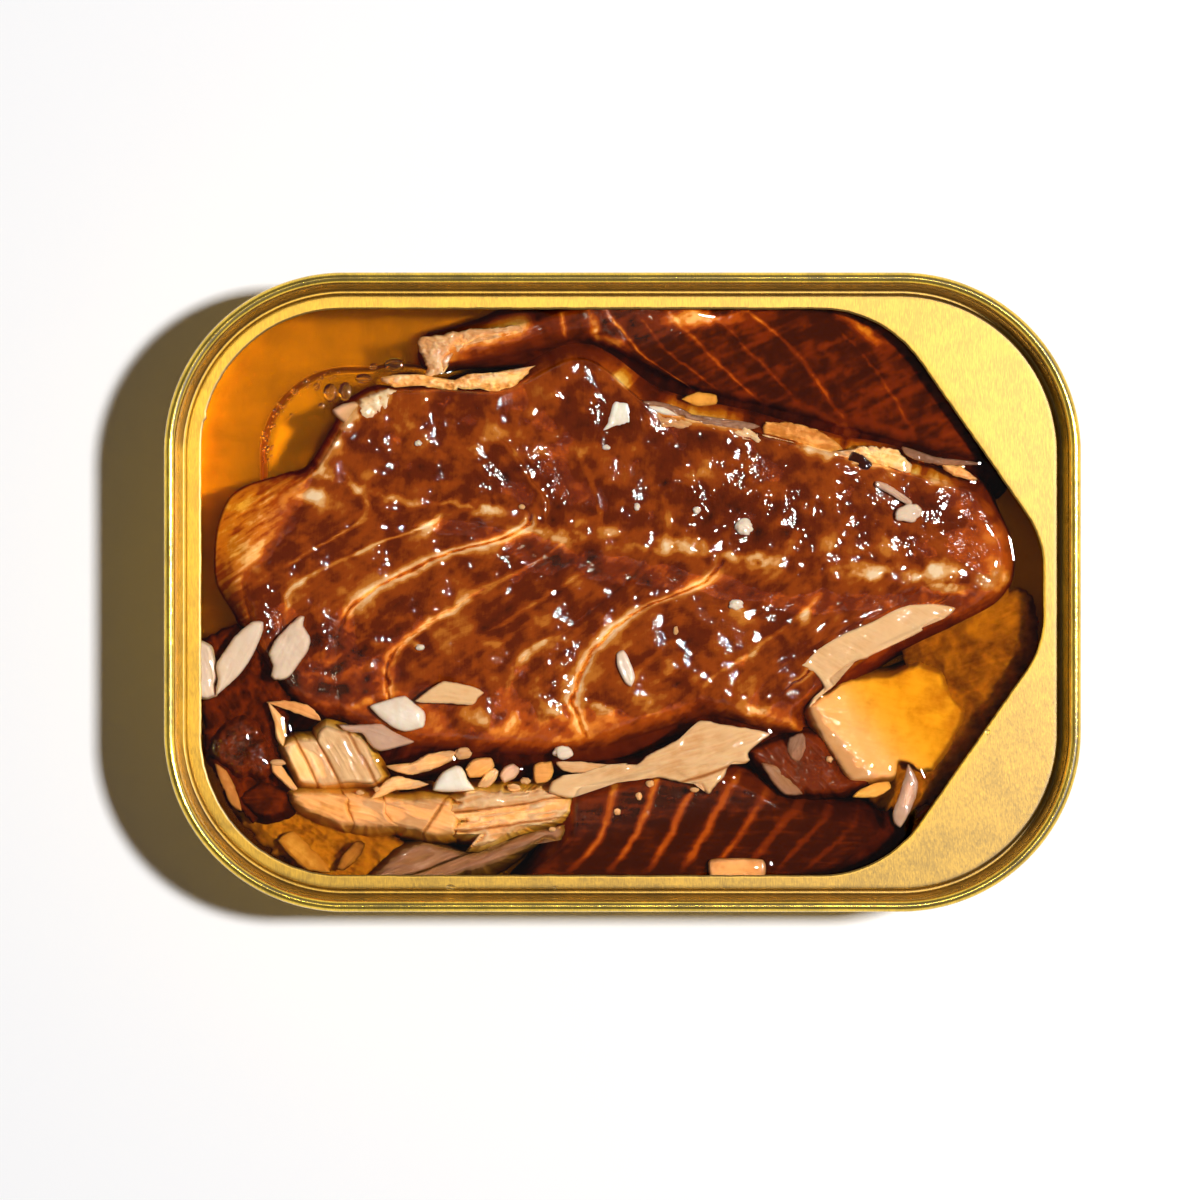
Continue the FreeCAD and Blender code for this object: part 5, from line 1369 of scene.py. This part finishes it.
# ragged trimmings of the fillets themselves; level is how far their tops stand above the oil
trimmings = {
    "tornLobe": {
        "corners": [(-34.7, 21.8), (-33.4, 22.5), (-32, 22.7), (-31, 22), (-30.8, 20.2), (-32.4, 19.8),
                    (-34, 20.9)],
        "level": 0.35, "thick": 1.2, "turn": 30, "pale": 0.3, "finish": "whiteFlesh", "tear": 0.1},
    "tornWhite": {
        "corners": [
            (-31.3, 23), (-30.2, 23.7), (-29, 24.1), (-27.6, 24.3), (-26.4, 24), (-27.4, 23.1), (-28, 22.2),
            (-28.2, 21.2), (-29.2, 20.2), (-31.1, 20.7), (-31.8, 21.55)],
        "level": 0.8, "thick": 1.6, "turn": 30, "pale": 0.86, "tear": 0.3, "lumps": 0.4, "fibre": 0.06,
        "crumb": 0.2, "round": 0.7},
    "tornBeige": {
        "corners": [
            (-30.6, 20.9), (-28, 20.6), (-27.4, 19.6), (-29.2, 19), (-32, 17.8), (-34, 16.3), (-34.6, 16.7),
            (-33.8, 18.1), (-32, 19.5)],
        "level": 0.6, "thick": 1.4, "turn": 35, "pale": 0.66, "tear": 0.25, "lumps": 0.25, "fibre": 0.06,
        "crumb": 0.18, "round": 0.7},
    "fatBlock": {
        "corners": [
            (-1.1, 22.8), (0, 22.9), (1, 22.6), (1.2, 20.2), (-0.6, 19.7), (-2.8, 19), (-1.9, 20.3)],
        "level": 1.05, "thick": 1.6, "turn": 80, "pale": 0.92, "finish": "whiteFlesh", "tear": 0.1},
    "amberLip": {
        "corners": [
            (1, 22.4), (3.5, 22.4), (6.7, 21), (9.6, 19.9), (8, 19.5), (4, 19.7), (1, 20.2)],
        "level": 0.85, "thick": 1.2, "turn": -12, "pale": 0.46, "tear": 0.25, "crumb": 0.16, "fibre": 0.08,
        "round": 0.5},
    "whiteStreak": {
        "corners": [
            (3, 22.3), (5, 22.1), (6.8, 21.1), (5.2, 21.2), (3.4, 21.8)],
        "level": 1.0, "thick": 0.7, "turn": -16, "pale": 0.84, "finish": "whiteFlesh", "tear": 0.08,
        "round": 0.3},
    "mauveLip": {
        "corners": [
            (1, 22.9), (4.2, 22.8), (6.7, 22.1), (9.9, 20.6), (15, 20.3), (16.4, 19.9), (15.2, 19.4),
            (10.4, 19.8), (6.7, 21.2), (4.2, 22.2), (1.2, 22.4)],
        "level": 0.7, "thick": 1.0, "turn": -12, "pale": 0.55, "finish": "greyFlesh", "tear": 0.3,
        "crumb": 0.16, "fibre": 0.16, "round": 0.35},
    "whiteLip": {
        "corners": [
            (9.9, 20), (12.8, 19.4), (15.3, 19.5), (16.8, 18.4), (19.2, 17.2), (20.7, 15.8), (19, 16.4),
            (16.4, 17.6), (15, 18.5), (12.4, 18.6)],
        "level": 0.8, "thick": 1.1, "turn": -24, "pale": 0.74, "tear": 0.4, "crumb": 0.16, "fibre": 0.14,
        "lumps": 0.2, "round": 0.4},
    "longLip": {
        "corners": [
            (16.5, 18.9), (20.5, 17.9), (22.7, 16.9), (24.3, 15.9), (26.5, 15.8), (28.1, 17.1), (27.6, 16),
            (26.4, 15.2), (24.2, 15.2), (22, 16.3), (19.6, 17.3)],
        "level": 0.65, "thick": 1.0, "turn": -20, "pale": 0.62, "tear": 0.35, "crumb": 0.16, "fibre": 0.16,
        "round": 0.35},
    "sunkLip": {
        "corners": [
            (16.8, 20.2), (20, 20.3), (24.2, 19), (26.4, 17), (24.2, 16.6), (20.4, 18), (17, 18.9)],
        "level": -0.35, "thick": 0.8, "turn": -12, "pale": 0.4, "tear": 0.3, "crumb": 0.16, "fibre": 0.2,
        "round": 0.4},
    # painted shade: a dark patch standing for the shadowed hollow between the lips at the fillet's upper edge
    "darkHollow": {
        "corners": [
            (26.8, 15.6), (27.6, 16.8), (28.8, 16.4), (29.8, 15.4), (29.4, 14.6), (27.8, 14.9)],
        "level": 0.95, "thick": 0.5, "pale": 0.0, "finish": "glazedFlesh", "tear": 0.2, "round": 0.3},
    "edgeLine": {
        "corners": [
            (33.6, 17.4), (37.7, 16.1), (42.2, 15.6), (42.6, 15.2), (37.6, 15.3), (34.2, 16.2)],
        "level": 0.5, "thick": 0.9, "turn": -14, "pale": 0.46, "finish": "greyFlesh", "tear": 0.25,
        "crumb": 0.16, "fibre": 0.1, "round": 0.3},
    "slabCut": {
        "corners": [
            (21.2, -8.8), (21.8, -8.3), (23.2, -6.9), (25.05, -5.7), (27.1, -4.6), (30, -3.45),
            (32.4, -2.2), (34.5, -1.5), (37.6, -1.4), (39.9, -1.9), (38.6, -3.1), (37.6, -3), (35.9, -4.1),
            (35.9, -4.6), (34.5, -5.3), (32.4, -6.3), (30.4, -7.25), (29.2, -7.9), (28.1, -8.2),
            (26.3, -9.1), (24.8, -10.4), (25.15, -11.3), (24.2, -12.1), (23, -13.1), (22.3, -13.9),
            (22.7, -12.8), (24.1, -11.8), (23.8, -10.8), (22.8, -9.6)],
        "level": 1.1, "thick": 1.6, "turn": -28, "pale": 0.74, "tear": 0.06, "fibre": 0.04, "lumps": 0.04,
        "round": 0.35, "sink": (28, 30.0, 38.0, 0.25)},
    "backCrust": {
        "corners": [
            (-24.6, 30), (-24, 30.5), (-21, 30.9), (-18.3, 31.5), (-15.3, 31.6), (-12.35, 31.9),
            (-11.9, 31.1), (-14.2, 30.9), (-16.5, 30.7), (-18.5, 29.8), (-19, 29.1), (-21, 28.4),
            (-21.7, 27.6), (-21.4, 26.3), (-22.4, 25.9), (-23.5, 26.1), (-23.3, 27), (-24, 28.2),
            (-24.5, 29.3)],
        "level": 0.75, "thick": 1.5, "turn": 10, "pale": 0.58, "tear": 0.35, "fibre": 0.06, "lumps": 0.35,
        "crumb": 0.24, "round": 0.5},
    "beigeStrand": {
        "corners": [
            (20, -17.4), (21.6, -16.9), (22, -18.4), (21.2, -20.3), (20.2, -20), (19.8, -18.6)],
        "level": 0.75, "thick": 0.9, "turn": 70, "pale": 0.5, "finish": "greyFlesh", "tear": 0.15,
        "round": 0.4},
    "cornerStrand": {
        "corners": [
            (16.6, -20.4), (18.4, -20.8), (20.2, -22.4), (21.6, -24.2), (19.4, -24.2), (17.8, -22.4)],
        "level": 0.45, "thick": 0.9, "turn": -40, "pale": 0.45, "finish": "greyFlesh", "tear": 0.12,
        "round": 0.4},
    "foldedEdge": {
        "corners": [
            (-7.9, -20.3), (-5, -20.3), (-2, -20.6), (0.6, -20.5), (-1, -21.2), (-4, -21.7), (-7, -21.4)],
        "level": 1.1, "thick": 0.9, "turn": -4, "pale": 0.62, "tear": 0.15, "fibre": 0.12, "round": 0.35},
    "leftShred": {
        "corners": [
            (-42.6, -13.2), (-40.2, -13), (-37.6, -13.6), (-36, -15.4), (-37.6, -15), (-39.8, -14.2)],
        "level": 0.2, "thick": 0.7, "turn": -20, "pale": 0.42, "tear": 0.2, "round": 0.3},
    # flesh under the oil at the lower left, its dark tone partly painted shade for the gaps round it
    "sunkBed": {
        "corners": [
            (-50.4, -6), (-46, -4), (-41, -8), (-40, -14), (-41.4, -20), (-40.6, -26), (-44.4, -27.6),
            (-48.4, -23), (-50.4, -17)],
        "level": -1.6, "thick": 3.0, "turn": -60, "pale": 0.1, "finish": "glazedFlesh", "tear": 0.6,
        "fibre": 0.1, "lumps": 0.9, "crumb": 0.1, "round": 1.6},
    "amberBed": {
        "corners": [
            (-48, -23), (-43, -24.6), (-38, -25), (-31, -27.6), (-26, -30.4), (-27, -34.4), (-31, -35.6),
            (-37, -34.4), (-42, -31.6), (-46, -27.4)],
        "level": -3.8, "thick": 3.0, "turn": -35, "pale": 0.22, "finish": "softFlesh", "tear": 0.6,
        "fibre": 0.1, "lumps": 1.2, "crumb": 0.1, "round": 1.8, "edgeTone": 0.3},
    # painted shade: a dark bed under the oil standing for the shaded tin floor right of the fillet's tip
    "rightBed": {
        "corners": [
            (33, -3), (38, -1), (44, 0.5), (49, 0), (50.4, -6), (48, -13), (43, -20), (38, -25),
            (31, -26.4), (29, -23), (33, -18), (34, -10)],
        "level": -5.2, "thick": 4.0, "turn": 20, "pale": 0.14, "finish": "softFlesh", "tear": 0.6,
        "fibre": 0.06, "lumps": 1.0, "round": 3.0},
    "wallShred": {
        "corners": [
            (-48.8, -20.6), (-47.4, -21.4), (-46.4, -23.4), (-45.6, -26.2), (-46.8, -25.6), (-48, -23.2)],
        "level": -0.3, "thick": 0.9, "turn": -66, "pale": 0.34, "finish": "softFlesh", "tear": 0.12,
        "round": 0.4},
}

makeMainFillet()
makeBackFillet()
makeFrontFillet()
for number, (node, sizes) in enumerate(outlined.items()):
    makeOutlined(node, sizes, 500 + 17 * number)
for number, (name, sizes) in enumerate(trimmings.items()):
    makeOutlined(name, sizes, 1500 + 17 * number)
print("pieces of flesh made")


# Crumbs and drops: small lumps, many in one piece

crumbs = {
    # x, y, three half sizes
    "salt": [(14.5, 7.8, 1.15, 0.95, 0.6), (8.9, 9.8, 0.5, 0.42, 0.35), (13.6, -1.5, 0.85, 0.6, 0.4),
             (1.75, 10.2, 0.36, 0.42, 0.3), (-24.4, 17.8, 0.42, 0.34, 0.3), (-24.2, -6.6, 0.5, 0.36, 0.3),
             (-1.9, 17.3, 0.5, 0.3, 0.25), (-7.1, -19.2, 1.2, 0.75, 0.7)],
    "flesh": [(-19.1, -19.3, 1.0, 0.7, 0.6), (-13.0, -23.4, 0.8, 0.5, 0.4), (-11.6, -22.6, 0.6, 0.4, 0.4),
              (-31.4, -24.0, 0.5, 0.3, 0.3), (-29.4, -23.6, 0.4, 0.3, 0.3), (-41.2, -20.4, 0.9, 0.4, 0.4),
              (3.3, -22.9, 0.5, 0.4, 0.3), (2.0, -24.4, 0.4, 0.5, 0.3), (-0.6, -26.3, 0.4, 0.4, 0.3),
              (8.6, -23.6, 0.5, 0.3, 0.3), (-8.4, -28.4, 0.4, 0.3, 0.3), (24.8, -20.0, 0.4, 0.4, 0.3),
              (-12.0, 10.2, 0.4, 0.3, 0.2), (6.4, -4.6, 0.3, 0.5, 0.2)],
}


def makeCrumbs(name, table, material, seed, paleness):
    # Each crumb is a ball pulled about by noise, half sunk in what it lies on
    rows, columns = 14, 24
    polar = np.linspace(0.12, math.pi - 0.12, rows)[:, None]
    turns = np.linspace(0, 2 * math.pi, columns, endpoint=False)[None, :]
    ball = np.stack([np.sin(polar) * np.cos(turns), np.sin(polar) * np.sin(turns),
                     np.cos(polar) + 0 * turns], axis=-1)
    vertices, quads, caps = [], [], []
    for number, (x, y, *half) in enumerate(table):
        wavy = ball[..., 0] * 1.9 + ball[..., 2] + number * 7
        pull = 1 + 0.28 * layeredNoise(wavy, ball[..., 1] * 1.9 - ball[..., 2], seed, 3)
        middle = max(heightAt(x, y), oilLevel - 0.2) + 0.3 * half[2]
        lump = ball * pull[..., None] * np.array(half) + np.array([x, y, middle])
        start = number * ball[..., 0].size
        vertices.append(lump.reshape(-1, 3))
        quads.append(gridQuads(rows, columns, roundColumns=True)[:, ::-1] + start)
        caps += [np.arange(columns) + start, np.arange(columns)[::-1] + (rows - 1) * columns + start]
    vertices = np.concatenate(vertices)
    values = {
        "pale": np.full(len(vertices), paleness),
        "along": vertices[:, 0] * mm,
        "across": vertices[:, 1] * mm,
    }
    return addPiece(name, vertices, np.concatenate(quads), material, caps=caps, values=values)


makeCrumbs("saltCrumbs", crumbs["salt"], whiteFlesh, 81, 0.8)
makeCrumbs("fleshCrumbs", crumbs["flesh"], paleFlesh, 82, 0.62)

# x, y, two half widths, height
bubbles = [(-35.0, 23.9, 0.8, 1.1, 0.2), (-33.2, 24.0, 0.8, 1.2, 0.2), (-31.0, 25.6, 1.0, 0.6, 0.16),
           (-27.3, 27.2, 1.2, 0.85, 0.2), (-36.0, 22.3, 0.4, 0.4, 0.12), (-42.3, 17.2, 0.35, 0.35, 0.1),
           (-39.6, 21.2, 0.2, 0.25, 0.08), (-29.8, 27.0, 0.5, 0.4, 0.12), (-36.6, 24.6, 0.4, 0.5, 0.12)]
drops = [(43.65, -16.7, 0.34, 0.3, 0.22), (-20.5, -35.3, 0.6, 0.4, 0.3), (-8.0, -35.3, 0.3, 0.24, 0.18),
         (-50.6, -6.3, 0.22, 0.16, 0.1)]


def makeDomes(name, table, level, material):
    # Each is a flattened ball, half above the level it floats at
    rows, columns = 9, 20
    rise = np.linspace(0.1 - math.pi / 2, math.pi / 2 - 0.1, rows)[:, None]
    turns = np.linspace(0, 2 * math.pi, columns, endpoint=False)[None, :]
    ball = np.stack([np.cos(rise) * np.cos(turns), np.cos(rise) * np.sin(turns),
                     np.sin(rise) + 0 * turns], axis=-1)
    vertices, quads, caps = [], [], []
    for number, (x, y, *half) in enumerate(table):
        start = number * ball[..., 0].size
        vertices.append((ball * np.array(half) + np.array([x, y, level])).reshape(-1, 3))
        quads.append(gridQuads(rows, columns, roundColumns=True) + start)
        caps += [np.arange(columns)[::-1] + start, np.arange(columns) + (rows - 1) * columns + start]
    return addPiece(name, np.concatenate(vertices), np.concatenate(quads), material, caps=caps)


def foamAlong(count):
    # Fine bubbles strewn along the rim of the sunken panel, where it shows beside the fillet
    places = np.random.default_rng(91)
    turns = places.uniform(math.radians(92), math.radians(186), count)
    out = wallRadius - tin["plateInset"] + places.normal(-0.2, 0.35, count)
    size = places.uniform(0.08, 0.22, count)
    x, y = -(halfLength - wallRadius) + out * np.cos(turns), halfWidth - wallRadius + out * np.sin(turns)
    return [(*point, r, r, 0.4 * r) for *point, r in zip(x, y, size)]


makeDomes("oilBubbles", bubbles + foamAlong(70), oilLevel + 0.02, amberOil)
makeDomes("oilDrops", drops, panelTop - 0.01, amberOil)
print("crumbs and drops made")


# The oil: one closed body up to its level, drawn up where it wets the flesh and the wall

oil = {
    "wetRise": 0.75,
    "wetReach": 2.6,  # in steps of the height map
    "wallRise": 0.5,
    "wallReach": 0.9,
    "wallRings": 58,
    "wallRingsWidth": 18.0,
    "intoSheet": 0.04,
}


def makeOil():
    # Top: level, plus a rise by the flesh that stands out and one at the wall; below: the tin's own profile
    above = np.clip((heightMap["grid"] - oilLevel) / 0.3, 0, 1)
    lift = oil["wetRise"] * blurred(above, oil["wetReach"])
    insets = np.linspace(0.1, oil["wallRingsWidth"], oil["wallRings"])
    rings = [ringAt(-inset) for inset in insets]
    rings += [rings[-1] * share for share in np.linspace(1, 0.02, 56)[1:]]
    wallRises = np.zeros(len(rings))
    wallRises[:len(insets)] = oil["wallRise"] * np.exp(-insets / oil["wallReach"])
    top = []
    for ring, wallRise in zip(rings, wallRises):
        ix, iy = mapPlace(ring[:, 0], ring[:, 1])
        jx, jy = ix.astype(int), iy.astype(int)
        tx, ty = ix - jx, iy - jy
        rise = (lift[jx, jy] * (1 - tx) + lift[jx + 1, jy] * tx) * (1 - ty)
        rise = rise + (lift[jx, jy + 1] * (1 - tx) + lift[jx + 1, jy + 1] * tx) * ty
        top.append(np.column_stack([ring, oilLevel + rise + wallRise]))
    middle = tin["sheet"] / 2
    line = [(-middle, oilLevel - 0.5)] + footLine(tin["ringRise"])
    under = ringsOf(bentLine(line, footBends, oil["intoSheet"] - middle, 5))
    rings = (under + dishRings(tin["sheet"] - oil["intoSheet"]))[::-1] + top
    vertices, quads = sweepRings(rings)
    last = len(rings) - 1
    caps = [np.arange(pathCount)[::-1], np.arange(pathCount) + last * pathCount]
    return addPiece("oilBody", vertices, quads, amberOil, ["oil"], caps)


makeOil()
print("oil made")


# Camera, light and floor

stage = {
    "eyeHeight": 700.0,
    "eyeX": -2.67,
    "eyeY": -0.94,
    "frameWidth": 142.5,
    "keyTurn": 10.0,
    "keyElevation": 68.0,
    "keyDistance": 1.2,  # metres, as is the lamp's size
    "keySize": 0.08,
    "keyPower": 15.6,
}

floorMaterial, nodes, links, surface = newMaterial("paleFloor")
setInputs(surface, {"Base Color": (0.95, 0.955, 0.97, 1), "Roughness": 0.9, "Specular IOR Level": 0.0})
# far from the tin it goes over to the white of the backdrop
place = addNode(nodes, "ShaderNodeTexCoord")
away = addNode(nodes, "ShaderNodeVectorMath", operation="LENGTH")
distance = addNode(nodes, "ShaderNodeMapRange", **{"From Min": 0.22, "From Max": 0.6})
path = addNode(nodes, "ShaderNodeLightPath")
direct = addNode(nodes, "ShaderNodeMath", operation="MAXIMUM")
directAll = addNode(nodes, "ShaderNodeMath", operation="MAXIMUM")
shown = addNode(nodes, "ShaderNodeMath", operation="MULTIPLY")
white = addNode(nodes, "ShaderNodeEmission")
white.inputs["Color"].default_value = (0.985, 0.985, 0.985, 1)
farMix = addNode(nodes, "ShaderNodeMixShader")
join(links, (place, "Object", away, 0), (away, "Value", distance, "Value"),
     (path, "Is Camera Ray", direct, 0), (path, "Is Glossy Ray", direct, 1),
     (direct, "Value", directAll, 0), (path, "Is Transmission Ray", directAll, 1),
     (directAll, "Value", shown, 0), (distance, "Result", shown, 1), (shown, "Value", farMix, "Fac"),
     (surface, "BSDF", farMix, 1), (white, "Emission", farMix, 2),
     (farMix, "Shader", nodes["Material Output"], "Surface"))
bpy.ops.mesh.primitive_plane_add(size=8.0, location=(0, 0, 0))
floor = bpy.context.object
floor.name = "floorSheet"
floor.data.materials.append(floorMaterial)


turn, elevation = math.radians(stage["keyTurn"]), math.radians(stage["keyElevation"])
level = math.cos(elevation)
keyWay = Vector((math.cos(turn) * level, math.sin(turn) * level, math.sin(elevation)))
lampData = bpy.data.lights.new("keyLamp", "AREA")
lampData.shape, lampData.size, lampData.size_y = "RECTANGLE", stage["keySize"], stage["keySize"]
lampData.energy, lampData.color = stage["keyPower"], (1.0, 0.995, 0.99)
lamp = bpy.data.objects.new("keyLamp", lampData)
lamp.location = keyWay * stage["keyDistance"]
lamp.rotation_euler = (-keyWay).to_track_quat("-Z", "Y").to_euler()
bpy.context.scene.collection.objects.link(lamp)

world = bpy.data.worlds.new("studioAir")
world.use_nodes = True
bpy.context.scene.world = world
nodes, links = world.node_tree.nodes, world.node_tree.links


def skyRamp(stops):
    # Light by height above the horizon
    ramp = nodes.new("ShaderNodeValToRGB")
    fillRamp(ramp, [(at, (*colour, 1)) for at, colour in stops])
    links.new(parts.outputs["Z"], ramp.inputs["Fac"])
    return ramp


place = nodes.new("ShaderNodeTexCoord")
parts = nodes.new("ShaderNodeSeparateXYZ")
links.new(place.outputs["Generated"], parts.inputs["Vector"])
dim = skyRamp([(0.0, (0.12, 0.1, 0.096)), (0.7, (0.04, 0.035, 0.032))])
backdrop = skyRamp([(0.28, (1.0, 1.0, 1.0)), (0.62, (0.11, 0.11, 0.11))])
path = nodes.new("ShaderNodeLightPath")
seen = addNode(nodes, "ShaderNodeMath", operation="MAXIMUM")
seenAll = addNode(nodes, "ShaderNodeMath", operation="MAXIMUM")
chosen = addNode(nodes, "ShaderNodeMix", data_type="RGBA")
join(links, (path, "Is Camera Ray", seen, 0), (path, "Is Glossy Ray", seen, 1), (seen, "Value", seenAll, 0),
     (path, "Is Transmission Ray", seenAll, 1), (seenAll, "Value", chosen, "Factor"),
     (dim, "Color", chosen, "A"), (backdrop, "Color", chosen, "B"),
     (chosen, "Result", nodes["Background"], "Color"))
nodes["Background"].inputs["Strength"].default_value = 1.0

cameraData = bpy.data.cameras.new("camera")
cameraData.sensor_width = 36.0
cameraData.lens = 36.0 * stage["eyeHeight"] / stage["frameWidth"]
cameraData.clip_start, cameraData.clip_end = 0.01, 20
camera = bpy.data.objects.new("camera", cameraData)
camera.location = (stage["eyeX"] * mm, stage["eyeY"] * mm, (tin["height"] + stage["eyeHeight"]) * mm)
bpy.context.scene.collection.objects.link(camera)
bpy.context.scene.camera = camera
bpy.context.scene.view_settings.view_transform = "Standard"
print("stage made")
